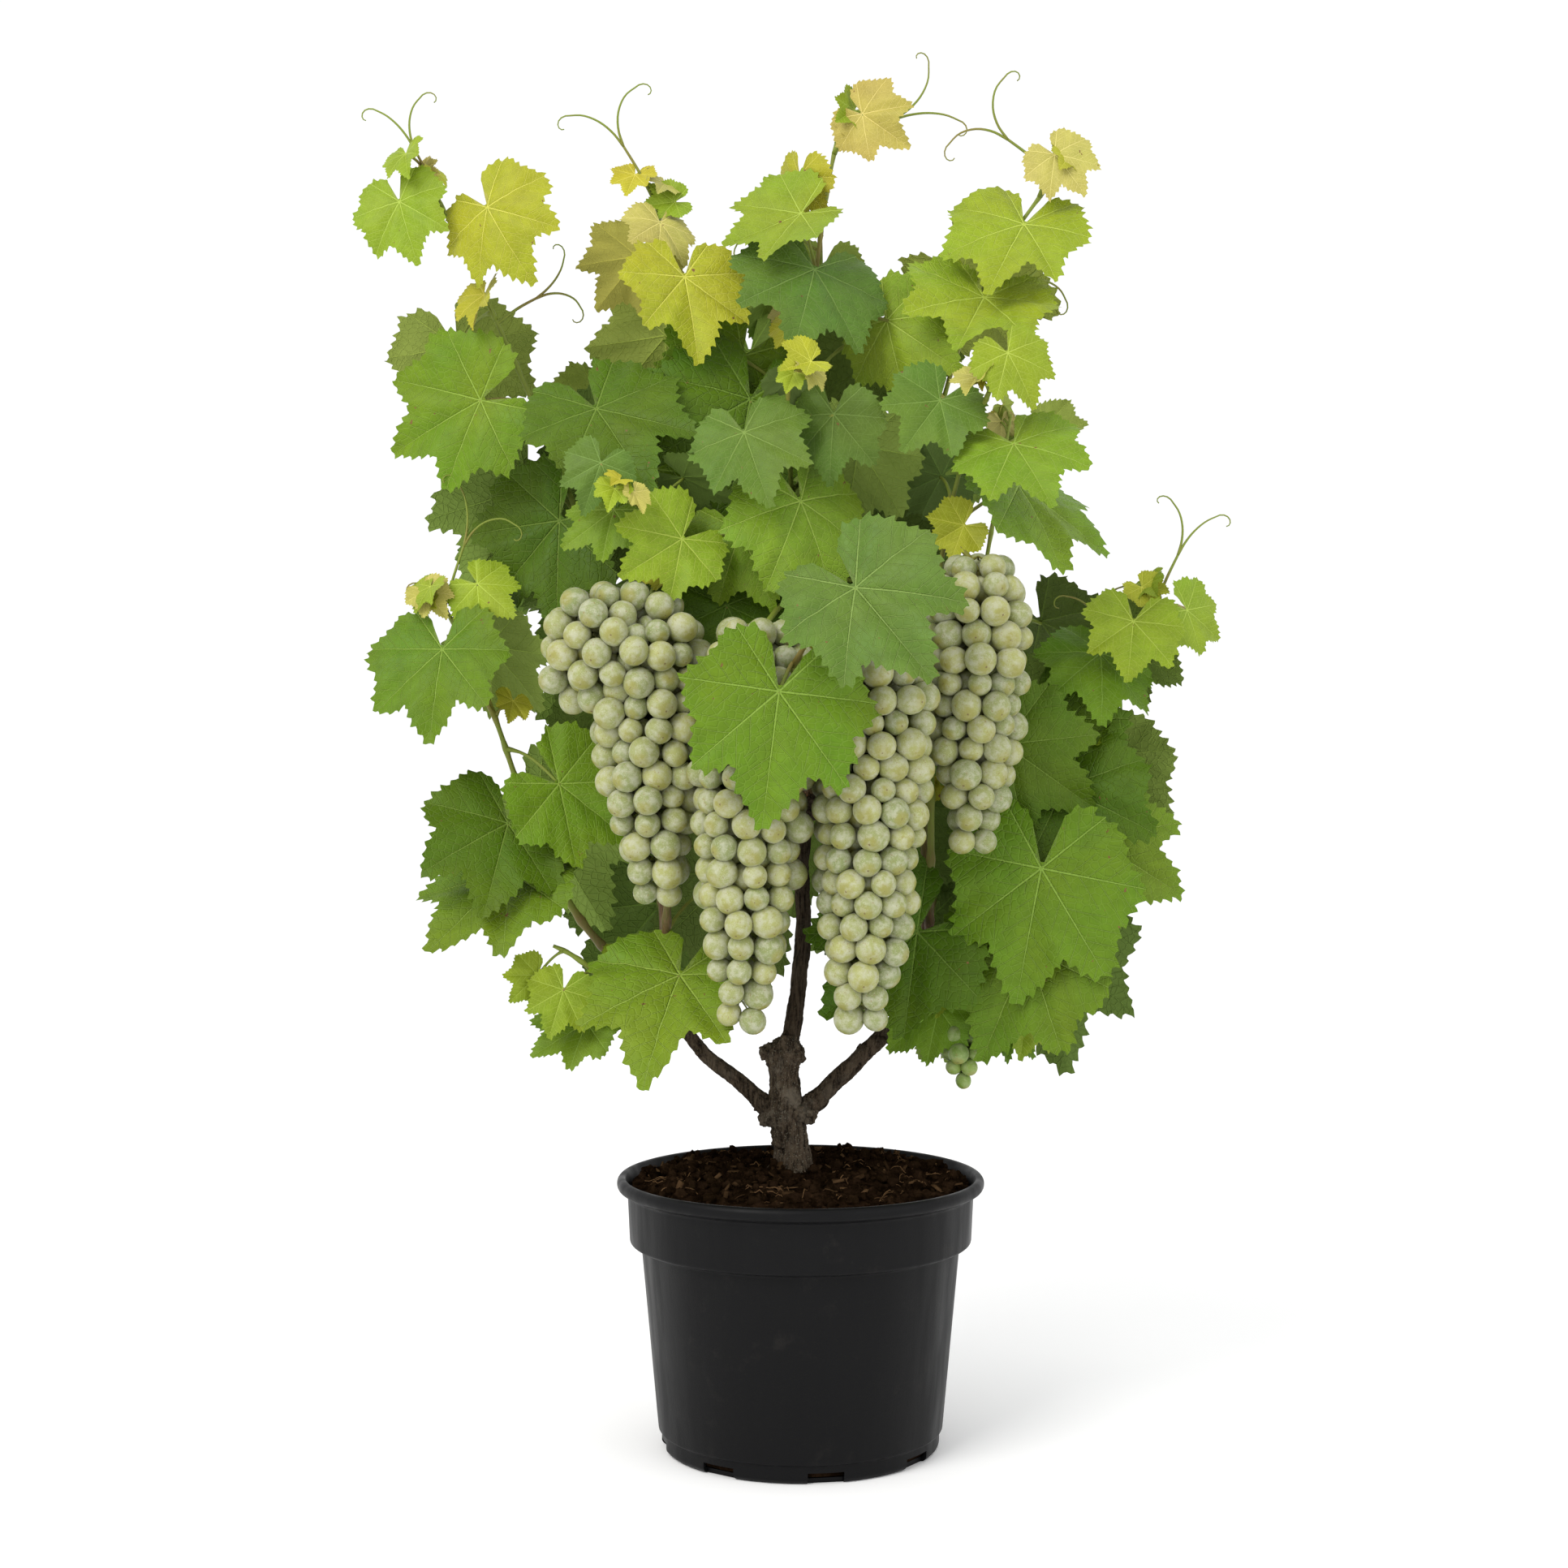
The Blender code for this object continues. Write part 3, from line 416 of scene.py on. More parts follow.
KNOBS = (  # old cuts on the trunk: centre and radius
    (-0.0235, -0.003, 0.3005, 0.0072), (-0.0035, -0.005, 0.2995, 0.0070), (-0.013, -0.010, 0.262, 0.0068),
    (-0.022, 0.004, 0.253, 0.0080), (0.000, -0.006, 0.2545, 0.0075), (-0.012, 0.009, 0.285, 0.0065),
    (-0.016, -0.009, 0.2330, 0.0050), (-0.010, -0.004, 0.3065, 0.0088), (0.008, -0.003, 0.2625, 0.0062),
    (-0.030, 0.001, 0.2590, 0.0058), (0.0045, -0.006, 0.2535, 0.0068), (-0.0250, -0.004, 0.2495, 0.0062),
)
SPURS = (  # dead spurs: limb, share of its length, heading in degrees, length
    ("right", 0.42, (60, 60), 0.013), ("right", 0.62, (-60, 10), 0.016), ("right", 0.80, (100, 70), 0.018),
    ("left", 0.35, (120, 75), 0.007), ("left", 0.60, (-120, -20), 0.007), ("leader", 0.25, (20, 40), 0.008),
    ("leader", 0.70, (170, 50), 0.007), ("left", 0.85, (60, 20), 0.009),
)
SPUR_RADII = [0.0034, 0.0027, 0.0021, 0.0014]
OLD_CUT, DEAD = 0.15, 0.4  # how much painted shade each carries
FISSURE, RIDGE, WEATHERED = (0.013, 0.009, 0.006), (0.092, 0.068, 0.046), (0.185, 0.158, 0.120)
# SHADED is painted shade: the near-black that the wood's dark value mixes in
LICHEN, SHADED = (0.225, 0.210, 0.160), (0.0085, 0.0050, 0.0032)


def heading(azimuth, elevation):
    turn, rise = radians(azimuth), radians(elevation)
    return Vector((cos(turn) * cos(rise), sin(turn) * cos(rise), sin(rise)))


def between(a, b, c, d, u):
    """The point at share u of the way from b to c, on a smooth line through all four."""
    return 0.5 * (2 * b + (c - a) * u + (2 * a - 5 * b + 4 * c - d) * u * u
                  + (3 * b - a - 3 * c + d) * u * u * u)


def spline(points, t):
    """A smooth line through the points; t runs from 0 to 1."""
    place = min(max(t, 0.0), 1.0) * (len(points) - 1)
    i = min(int(place), len(points) - 2)
    b, c = points[i], points[i + 1]
    a = points[i - 1] if i else b + (b - c)
    d = points[i + 2] if i + 2 < len(points) else c + (c - b)
    return between(a, b, c, d, place - i)


def limb_path(name):
    return [Vector((x, 0.0, z)) for x, z, _ in WOOD[name]], [r for _, _, r in WOOD[name]]


def barked(points, radii, rings, sides, salt):
    """A limb with fissured bark: a tube whose skin is raised along stringy ridges."""
    path = [spline(points, i / (rings - 1)) for i in range(rings)]
    girths = np.interp(np.linspace(0, 1, rings), np.linspace(0, 1, len(radii)), radii).tolist()
    verts, faces = tube(path, girths, sides)
    run = 0.0
    for i, centre in enumerate(path):
        run += (path[i] - path[i - 1]).length if i else 0.0
        for s in range(sides):
            angle = tau * s / sides
            at = Vector((cos(angle) * 2.2, sin(angle) * 2.2, run * 95 + salt))
            turned = angle + 0.6 * noise(Vector((salt, run * 40, 0)))
            ridge = 1 - 2 * abs(noise(Vector((cos(turned) * 4.2, sin(turned) * 4.2, run * 70 + salt))))
            crumbs = 0.45 * noise(at * 3.2)
            swell = noise(at * 0.55) * 1.1 + 0.9 * ridge - 0.45 + crumbs
            k = i * sides + s
            verts[k] = centre + (verts[k] - centre) * (1 + BARK_RELIEF * swell)
    return verts, faces


def knot(centre, radius, salt, level, rough):
    """A healed knob."""
    ball, faces = unit_ball(level)
    verts = []
    for v in map(Vector, ball):
        n = noise(v * 1.7 + Vector((salt, 0, 0))) + 0.5 * noise(v * 5 + Vector((0, salt, 0)))
        verts.append(Vector(centre) + radius * (1 + rough * n) * v)
    return verts, faces


bark = Finish("vine_bark", Roughness=0.88, Specular_IOR_Level=0.04)
strings = bark.noise(1.0, 5.0, 0.65, stretch=(420, 420, 60))
fissured = bark.mix(bark.ramp(strings, 0.34, 0.62), FISSURE, RIDGE)
blotch = bark.times(bark.ramp(bark.noise(60.0, 4.0, 0.6), 0.50, 0.68), 0.55)
crust = bark.times(bark.ramp(bark.noise(800.0, 3.0, 0.6), 0.56, 0.68), 0.60)
flecked = bark.mix(crust, bark.mix(blotch, fissured, WEATHERED), LICHEN)
# dark: each piece's share of painted shade, which dulls its bark to the fissure colour and mixes in SHADED
own = bark.carried("dark")
shade_darkened_bark = bark.mix(bark.times(bark.ramp(own, 0.10, 0.25), 0.65), flecked, fissured)
bark.feed(Base_Color=bark.mix(bark.times(own, 0.60), shade_darkened_bark, SHADED),
          Normal=bark.relief(bark.plus(strings, bark.times(bark.noise(900.0, 3.0), 0.3)), 0.0012))

wood = Pile()
fine = 1.0
heads = {}
for name, rings, sides, shade in LIMBS:
    points, radii = limb_path(name)
    if name != "trunk":
        heads[name] = points[-1] + (points[-1] - points[-2]).normalized() * HEAD_RADIUS * 0.6
        wood.add(knot(heads[name], HEAD_RADIUS * 0.93, len(name), 4, 0.32), shade)
    if name in ("left", "right"):
        back = (points[0] - points[1]).normalized()
        points, radii = [FORK, points[0] + back * 0.006] + points, [FORK_RADIUS, radii[0] + 0.0010] + radii
    if name == "leader":
        points, radii = [points[0] - LEADER_SUNK] + points, [LEADER_FOOT] + radii
    wood.add(barked(points, radii, int(rings * fine), int(sides * fine), 10 * len(name)), shade)
for i, (*centre, radius) in enumerate(KNOBS):
    wood.add(knot(centre, radius, 3.0 * i, 3, 0.42), OLD_CUT)
for i, (name, share, way, length) in enumerate(SPURS):
    root = spline(limb_path(name)[0], share)
    path = [root + heading(*way) * length * t + UP * (0.002 * sin(3 * t + i))
            for t in (0, 0.3, 0.6, 1.0)]
    wood.add(barked(path, SPUR_RADII, 16, 12, 7.0 * i), DEAD)
declare(wood.make("old_wood", bark, "dark"), "bark", "trunk", "leader", "arm_left", "arm_right")

# ------------------------ canes
# The canes are this year's shoots, round and jointed, brown where they have ripened near their
# heads and green towards their tips. Each swells a little at its joints, where a leaf stands on
# its own slender stalk, now on one side and now on the other.

CLEAR = 0.0003
SEAT_STEP = 0.00005
CANE_RADIUS = 0.0038
CANE_TIP_RADIUS = 0.0014
CANE_STEPS = 10
CANE_SIDES = 10
CANE_PULL = 0.38
CANE_FOOT = 0.006
JOINT_LENGTH, JOINT_SWELL = 0.0045, 0.34
LOBES = ((0, 1.00), (24, 0.65), (42, 0.85), (64, 0.62), (90, 0.67), (130, 0.54), (166, 0.36))
STALK_SHARE = (0.40, 0.95)
STALK_POINTS = 9
STALK_SIDES = 6
SIZE_SHARE = (0.82, 1.10)
STALK_SWING = (-5, 85)
STALK_RISE = (-45, 60)
FACE_SWING = (-25, 45)
FACE_RISE = (0, 50)
MIDRIB_SWING = (-25, 65)
FOLD = (-0.15, 0.25)
CURL = (0.05, 0.35)
LAST_LEAF = 0.985
YOUNG = 0.34
GROWN_AT = 0.17
ATTEMPTS = 90
SEED_STRIDES = (10000, 100)  # between canes and between leaves
TIP_LEAVES = 3
TIP_SIZE = (0.013, 0.026)
SIDE_LEAVES = 2
SIDE_SIZE = (0.020, 0.036)
SAME_PLACE = 0.0006  # how near a point of the frame's solid has to be to count as the same
FIRST_SEED = 21
FRESH, BLUSH = (0.180, 0.230, 0.030), (0.215, 0.120, 0.045)
RIPE_DARK, RIPE_PALE = (0.060, 0.032, 0.014), (0.150, 0.085, 0.038)

Cane = namedtuple("Cane", "head leave tip arrive faces leaves bare blade tendrils seed")
CANES = {"cane_" + name: Cane(*row, FIRST_SEED + i) for i, (name, *row) in enumerate((
    ("left_front", "left", (-95, 60), (-0.135, -0.120, 0.715), (-135, 10), "front", 8, 0.50, 0.090, 0),
    ("apron", "leader", (-20, 25), (-0.008, -0.162, 0.578), (-90, -70), "front", 2, 0.72, 0.225, 0),
    ("front", "leader", (-90, 60), (-0.010, -0.120, 0.800), (-90, 40), "front", 11, 0.30, 0.090, 0),
    ("right_front", "right", (-85, 60), (0.140, -0.110, 0.800), (-60, 45), "front", 10, 0.40, 0.092, 0),
    ("left_low", "left", (175, 32), (-0.273, -0.010, 0.645), (180, 58), "front", 13, 0.04, 0.096, 2),
    ("left_high", "left", (100, 78), (-0.287, 0.000, 0.974), (180, 64), "front", 13, 0.16, 0.096, 2),
    ("centre", "leader", (80, 80), (0.030, 0.000, 1.007), (0, 78), "front", 13, 0.25, 0.092, 2),
    ("right_high", "right", (80, 78), (0.199, 0.000, 0.974), (0, 50), "front", 14, 0.20, 0.092, 2),
    ("right_low", "right", (5, 32), (0.274, 0.000, 0.648), (0, 60), "front", 13, 0.04, 0.092, 2),
    ("small_top", "leader", (150, 42), (-0.115, 0.020, 0.964), (180, 72), "both", 8, 0.30, 0.080, 1),
    ("left_spur", "left", (-145, -5), (-0.185, -0.040, 0.385), (180, 20), "front", 6, 0.15, 0.078, 0),
    ("right_spur", "right", (-35, -8), (0.165, -0.035, 0.375), (-20, 30), "front", 7, 0.15, 0.084, 0),
    ("left_back", "left", (95, 30), (-0.150, 0.110, 0.840), (120, 75), "back", 13, 0.08, 0.096, 0),
    ("back", "leader", (80, 22), (0.000, 0.120, 0.900), (60, 80), "back", 13, 0.05, 0.096, 0),
    ("right_back", "right", (85, 30), (0.170, 0.110, 0.800), (60, 70), "back", 13, 0.08, 0.096, 0),
))}
Leaf = namedtuple("Leaf", "cane node joint midrib normal length fold curl share")


def bezier(cane, start, t):
    tip = Vector(cane.tip)
    reach = (tip - start).length * CANE_PULL
    a, b = start + heading(*cane.leave) * reach, tip - heading(*cane.arrive) * reach
    u = 1 - t
    return u * u * u * start + 3 * u * u * t * a + 3 * u * t * t * b + t * t * t * tip


def cane_axis(cane, start):
    """The points of a cane: one straight step out of its head, then the curve to its tip."""
    foot = start + heading(*cane.leave) * CANE_FOOT
    return [start, foot] + [bezier(cane, start, i / CANE_STEPS) for i in range(1, CANE_STEPS + 1)]


def on_axis(cane, start, t):
    axis = cane_axis(cane, start)[1:]
    step = min(int(t * CANE_STEPS), CANE_STEPS - 1)
    return axis[step].lerp(axis[step + 1], t * CANE_STEPS - step)


def cane_radius(t):
    return CANE_RADIUS + (CANE_TIP_RADIUS - CANE_RADIUS) * t ** 0.8


def outside(surface, point, gap):
    near, normal, _, distance = surface.find_nearest(point)
    return distance > gap and (point - near).dot(normal) > 0


def seat(head, centre, direction, radius):
    """The first point along the direction where a flat end of this radius clears the head."""
    across = direction.orthogonal().normalized()
    other = direction.cross(across)
    distance = 0.0
    for _ in range(2000):
        distance += SEAT_STEP
        end = centre + direction * distance
        face = [end] + [end + radius * share * round_axis(across, other, i * pi / 4)
                        for share in (0.5, 1.0) for i in range(8)]
        if all(outside(head, p, CLEAR) for p in face):
            return end
    return centre + direction * distance


def downhill(normal):
    """The way straight down on a blade that faces along this normal."""
    down = Vector((0, 0, -1))
    return (down - down.dot(normal) * normal).normalized()


def joints_of(cane):
    """The shares of a cane's length at which its leaves stand."""
    return [cane.bare + (LAST_LEAF - cane.bare) * (n + 0.5) / cane.leaves for n in range(cane.leaves)]


def leaf_pose(name, start, node, attempt):
    """One draw of where leaf number `node` of a cane hangs."""
    cane = CANES[name]
    rng = random.Random(cane.seed * SEED_STRIDES[0] + node * SEED_STRIDES[1] + attempt)
    share = joints_of(cane)[node]
    root = on_axis(cane, start, share)
    side = 1 if (node + cane.seed) % 2 else -1
    front = {"front": -1 if node % 4 == 2 else 1, "back": -1, "both": 1 if node % 2 else -1}[cane.faces]
    age = min(1.0, (Vector(cane.tip) - root).length / GROWN_AT)
    length = cane.blade * (YOUNG + (1 - YOUNG) * age) * rng.uniform(*SIZE_SHARE)
    stalk = heading(-90 * front + side * front * rng.uniform(*STALK_SWING), rng.uniform(*STALK_RISE))
    joint = root + stalk * length * rng.uniform(*STALK_SHARE)
    normal = heading(-90 * front + side * front * rng.uniform(*FACE_SWING), rng.uniform(*FACE_RISE))
    down = downhill(normal)
    outward = down.cross(normal) * side
    outward = outward if outward.x * side > 0 else -outward
    roll = radians(rng.uniform(*MIDRIB_SWING))
    midrib = cos(roll) * down + sin(roll) * outward
    return Leaf(name, node, joint, midrib, normal, length, rng.uniform(*FOLD), rng.uniform(*CURL), share)


def blade_point(leaf, angle, reach):
    """A point of the blade, by its angle from the midrib and its share of the blade's length."""
    x, y = sin(angle) * reach, cos(angle) * reach
    lift = leaf.fold * abs(x) - leaf.curl * (x * x + 0.6 * y * y)
    right = leaf.midrib.cross(leaf.normal)
    return leaf.joint + leaf.length * (x * right + y * leaf.midrib + lift * leaf.normal)


def world_mesh(node):
    points = [node.matrix_world @ v.co for v in node.data.vertices]
    return points, [tuple(p.vertices) for p in node.data.polygons]


def points_of(node):
    found = KDTree(len(node.data.vertices))
    for v in node.data.vertices:
        found.insert(node.matrix_world @ v.co, v.index)
    found.balance()
    return found


def on_frame(found, points, share=0.8):
    """Whether most of these points are points of the frame's solid."""
    return sum(found.find(p)[2] < SAME_PLACE for p in points) >= share * len(points)


surfaces = {name: BVHTree.FromPolygons(*world_mesh(nodes[node])) for name, node in
            (("leader", "leader"), ("left", "arm_left"), ("right", "arm_right"))}
corners = {name: points_of(nodes[name]) for name in CANES}
starts, leaves = {}, []
for name, cane in CANES.items():
    starts[name] = seat(surfaces[cane.head], heads[cane.head], heading(*cane.leave), CANE_RADIUS)
    for node in range(cane.leaves):
        for attempt in range(ATTEMPTS):
            leaf = leaf_pose(name, starts[name], node, attempt)
            rim = [blade_point(leaf, side * radians(a), r) for a, r in LOBES[1:] for side in (-1, 1)]
            if on_frame(corners[name], rim):
                leaves.append(leaf)
                break


def cane_point(name, t):
    """A point of a cane's own line, which runs smoothly through the steps of its axis."""
    return spline(cane_axis(CANES[name], starts[name])[1:], t)


def small_leaf(name, number, share, size, rng):
    """A leaf too small for the frame: one just opening at a cane's tip, or on a side shoot."""
    front = -1 if CANES[name].faces == "back" else 1
    side = rng.choice((-1, 1))
    out = heading(-90 * front + side * rng.uniform(20, 85), rng.uniform(5, 60))
    normal = heading(-90 * front + side * rng.uniform(-10, 60), rng.uniform(10, 60))
    down = downhill(normal)
    roll = radians(side * rng.uniform(-20, 80))
    midrib = cos(roll) * down + sin(roll) * down.cross(normal)
    joint = cane_point(name, share) + out * size * rng.uniform(0.5, 0.9)
    return Leaf(name, number, joint, midrib, normal, size, rng.uniform(0.1, 0.5), rng.uniform(0.0, 0.4),
                share)


for name, cane in CANES.items():
    rng = random.Random(cane.seed + 500)
    count = TIP_LEAVES if cane.tip[2] > 0.6 and name != "cane_apron" else 0
    for i in range(count):
        leaves.append(small_leaf(name, cane.leaves + i, 0.995 - 0.012 * i, rng.uniform(*TIP_SIZE), rng))
    for i in range(SIDE_LEAVES if cane.leaves > 6 else 0):
        share = cane.bare + (0.9 - cane.bare) * rng.random()
        leaves.append(small_leaf(name, cane.leaves + count + i, share, rng.uniform(*SIDE_SIZE), rng))

shoots = Finish("green_wood", Roughness=0.5, Specular_IOR_Level=0.25)
streaks = shoots.noise(1.0, 3.0, stretch=(900, 900, 110))
blush = shoots.times(shoots.ramp(shoots.noise(22.0, 3.0, 0.6), 0.45, 0.70), 0.65)
fresh = shoots.mix(blush, FRESH, BLUSH)
woody = shoots.mix(shoots.ramp(streaks, 0.35, 0.65), RIPE_DARK, RIPE_PALE)
ripe = shoots.plus(shoots.carried("ripe"), shoots.times(shoots.less(streaks, 0.5), 0.35))
shoots.feed(Base_Color=shoots.mix(shoots.ramp(ripe, 0.25, 0.85), fresh, woody),
            Normal=shoots.relief(streaks, 0.0003))

canes = Pile()
for name, cane in CANES.items():
    length = (Vector(cane.tip) - starts[name]).length
    joints = joints_of(cane) + ([cane.bare * k / 4 for k in (1, 2, 3)] if cane.bare > 0.2 else [])
    count = int(130 * length / 0.5) + 12
    path = [starts[name]] + [cane_point(name, i / count) for i in range(count + 1)]
    girths = [CANE_RADIUS]
    for i in range(count + 1):
        t = i / count
        swell = sum(exp(-((t - j) * length / JOINT_LENGTH) ** 2) for j in joints)
        girths.append(cane_radius(t) * (0.93 + JOINT_SWELL * min(swell, 1.0)))
    ages = [max(0.0, 1.0 - i / (count + 1) * 2.6) ** 0.8 for i in range(count + 2)]
    canes.add(tube(path, girths, CANE_SIDES), [a for a in ages for _ in range(CANE_SIDES)])
along_stalk = [i / (STALK_POINTS - 1) for i in range(STALK_POINTS)]
for leaf in leaves:
    rise = UP * (0.10 * leaf.length)
    begin = cane_point(leaf.cane, leaf.share)
    end = blade_point(leaf, 0.0, 0.02) - leaf.normal * 0.0006
    path = [begin.lerp(end, t) + rise * sin(pi * t) * (1 - 0.4 * t) for t in along_stalk]
    thick = 0.0009 + 0.0065 * leaf.length
    girths = [thick * (1.9 - 0.9 * min(1, t * 5)) for t in along_stalk]
    canes.add(tube(path, girths, STALK_SIDES), -0.25 + 0.3 * random.Random(leaf.node).random())
declare(canes.make("green_shoots", shoots, "ripe"), "foliage", *CANES)

# ------------------------ leaves
# Each leaf is a thin five-lobed blade with a toothed edge, folded a little along its five main
# veins and puckered between them. Leaves low on a cane are grown and dark, their darkest tone partly
# painted shade, and the youngest at its tip are small, thin and yellow-green; the underside is paler,
# duller and shows the veins raised.

TEETH = 54
PER_TOOTH = 4
TOOTH = (0.0, 0.42, 0.80, 1.0, 0.22)
TOOTH_SIZE = 0.046
TOOTH_LEAN = 0.55
RINGS = ((
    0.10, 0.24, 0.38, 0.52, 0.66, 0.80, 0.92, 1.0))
OUTLINE = ((0, 1.02), (4, 0.95), (10, 0.86), (17, 0.75), (24, 0.67), (30, 0.72), (37, 0.84), (42, 0.87),
           (47, 0.82), (56, 0.72), (64, 0.66), (74, 0.70), (85, 0.73), (92, 0.70), (103, 0.63), (116, 0.60),
           (130, 0.59), (143, 0.55), (154, 0.50), (162, 0.43), (166, 0.35), (164, 0.26), (156, 0.17),
           (146, 0.10))
FINE_STEPS = 24
SINUS_ROOM = 15
STALK_NOTCH = (0.0, -0.045)
VEINS = (0.0, 42.0, 90.0, 140.0)
LAST_VEIN = 182.0
PUCKER = 0.065
WAVES = ((0.042, 3), (0.030, 5), (0.014, 11))  # height, how many round the blade
TONES = {
    # d, the darkest tone, is partly the leaves' own deep green and partly painted shade from inside the crown
    "d": (0.066, 0.122, 0.004), "b": (0.084, 0.150, 0.018), "m": (0.100, 0.182, 0.007),
    "g": (0.136, 0.226, 0.011), "l": (0.205, 0.282, 0.014), "y": (0.320, 0.320, 0.018),
    "t": (0.370, 0.340, 0.075),
}
YOUNG_TONES = "tly"
TONES_BY_NODE = {  # a tone for each joint of a cane, from its head to its tip
    "cane_left_front": "dddlggdb", "cane_apron": "mb", "cane_front": "mmdgmmgbbmb",
    "cane_right_front": "mdmgmgbgbl", "cane_left_low": "gmmdgmgmgmgdl", "cane_left_high": "mdgmdgmdmglyl",
    "cane_centre": "dmmdbmmblllyt", "cane_right_high": "gmmdmgdmglllyt", "cane_right_low": "mddmgdgdgmgll",
    "cane_small_top": "mgdmlyyt", "cane_left_spur": "mgmlml", "cane_right_spur": "mmglmgl",
    "cane_left_back": "dmdmmgdmdmglg", "cane_back": "mdmdgmmdmdglg", "cane_right_back": "dmgdmdmgdmggl",
}
LEAF_SPOT = (0.16, 0.085, 0.03)
LEAF_PIECES = {
    "leaves_left": ("cane_left_low", "cane_left_high", "cane_left_spur"),
    "leaves_right": ("cane_right_low", "cane_right_high", "cane_right_spur"),
    "leaves_middle": ("cane_centre", "cane_small_top"),
    "leaves_front": ("cane_left_front", "cane_apron", "cane_front", "cane_right_front"),
    "leaves_back": ("cane_left_back", "cane_back", "cane_right_back"),
}


def smooth_loop(points, count):
    """The closed smooth line through the points, at `count` steps of equal length."""
    dense = []
    for i in range(len(points)):
        a, b, c, d = (np.array(points[(i + k) % len(points)]) for k in (-1, 0, 1, 2))
        dense += [between(a, b, c, d, u) for u in np.linspace(0, 1, FINE_STEPS, endpoint=False)]
    dense = np.array(dense + [dense[0]])
    run = np.concatenate([[0], np.cumsum(np.linalg.norm(np.diff(dense, axis=0), axis=1))])
    at = np.linspace(0, run[-1], count, endpoint=False)
    return np.stack([np.interp(at, run, dense[:, k]) for k in (0, 1)], axis=1)


def blade_flat(rng):
    """The outline of one blade on its own plane: the plain edge and the toothed edge."""
    halves = []
    for side in (1, -1):
        stretch = rng.uniform(0.95, 1.06)
        lobe_shift = [rng.uniform(-0.03, 0.03) for _ in OUTLINE]
        room = rng.uniform(-0.15, 1.0) * SINUS_ROOM
        half = [(radians(a - room * min(1.0, max(0.0, (a - 120) / 40))),
                 r * (stretch if a > 20 else 1.0) + shift * min(1.0, a / 20, r / 0.4))
                for (a, r), shift in zip(OUTLINE, lobe_shift)]
        halves.append([(side * r * sin(a), r * cos(a)) for a, r in half])
    edge = smooth_loop(halves[0] + [STALK_NOTCH] + halves[1][:0:-1], TEETH * PER_TOOTH)
    ahead = np.roll(edge, -1, axis=0) - np.roll(edge, 1, axis=0)
    ahead /= np.linalg.norm(ahead, axis=1, keepdims=True)
    outward = np.stack([-ahead[:, 1], ahead[:, 0]], axis=1)
    if (outward * edge).sum() < 0:
        outward = -outward
    distance = np.linalg.norm(edge, axis=1)
    growing = np.sign(np.roll(distance, -1) - np.roll(distance, 1))[:, None]
    size = np.repeat([rng.uniform(0.6, 1.35) for _ in range(TEETH)], PER_TOOTH)
    shape = np.tile(np.interp(np.linspace(0, len(TOOTH) - 1, PER_TOOTH), range(len(TOOTH)), TOOTH), TEETH)
    calm = np.clip((distance - 0.32) / 0.20, 0.0, 1.0)
    lean = shape[:, None] * ahead * growing * TOOTH_LEAN
    return edge, edge + (outward * shape[:, None] + lean) * (TOOTH_SIZE * size * calm)[:, None]


def blade_mesh(leaf):
    """Points, faces and vein coordinates of a leaf's blade."""
    rng = random.Random(leaf.node * 31 + len(leaf.cane) * 7 + int(leaf.share * 1000))
    edge, toothed = blade_flat(rng)
    count = len(edge)
    x, y = np.concatenate([[(0.0, 0.0)]] + [edge * f for f in RINGS[:-1]] + [toothed]).T
    reach = np.hypot(x, y)
    angle = np.degrees(np.arctan2(np.abs(x), y))
    lift = leaf.fold * np.abs(x) - leaf.curl * (x * x + 0.6 * y * y)
    for first, last in zip(VEINS, VEINS[1:] + (LAST_VEIN,)):
        inside = (angle >= first) & (angle < last)
        lift += np.where(inside, PUCKER * reach * np.sin(np.pi * (angle - first) / (last - first)), 0.0)
    phase = [rng.uniform(0, 6.28) for _ in range(4)]
    whole = np.arctan2(x, y)
    wave = sum(high * np.sin(many * whole + start) for (high, many), start in zip(WAVES, phase))
    lift += wave * reach ** 2 * rng.uniform(0.6, 1.5)
    lift += 0.013 * np.sin(x * 22 + phase[3]) * np.sin(y * 19 + phase[1]) * np.minimum(1, reach * 2)
    axes = np.array([leaf.midrib.cross(leaf.normal), leaf.midrib, leaf.normal])
    verts = np.array(leaf.joint) + leaf.length * (np.stack([x, y, lift], axis=1) @ axes)
    column = np.arange(count)
    nxt = (column + 1) % count
    faces = [np.stack([np.zeros(count, int), 1 + nxt, 1 + column, -np.ones(count, int)], axis=1)]
    for low in range(1, 1 + (len(RINGS) - 1) * count, count):
        high = low + count
        faces.append(np.stack([low + column, low + nxt, high + nxt, high + column], axis=1))
    faces = np.concatenate(faces)
    middle = (edge + np.roll(edge, -1, axis=0)) / 2
    tilt = np.degrees(np.arctan2(np.abs(middle[:, 0]), middle[:, 1]))
    vein = np.array(VEINS)[np.abs(tilt[:, None] - np.array(VEINS)[None]).argmin(axis=1)]
    vein = np.tile(np.radians(vein), len(RINGS))[:, None]
    cx, cy = np.abs(x[faces]), y[faces]
    return verts, faces, np.stack([cx * np.sin(vein) + cy * np.cos(vein),
                                   cx * np.cos(vein) - cy * np.sin(vein)], axis=2)


def leaf_tone(leaf):
    """The colour of a leaf, by the spray and the joint it stands on, a little off the plain one."""
    rng = random.Random(leaf.node * 17 + len(leaf.cane))
    kinds = TONES_BY_NODE[leaf.cane]
    base = np.array(TONES[kinds[leaf.node] if leaf.node < len(kinds) else YOUNG_TONES[leaf.node % 3]])
    light = rng.uniform(0.90, 1.10)
    return np.clip(base * light * np.array([rng.uniform(0.92, 1.08), 1.0, rng.uniform(0.9, 1.1)]), 0, 1)


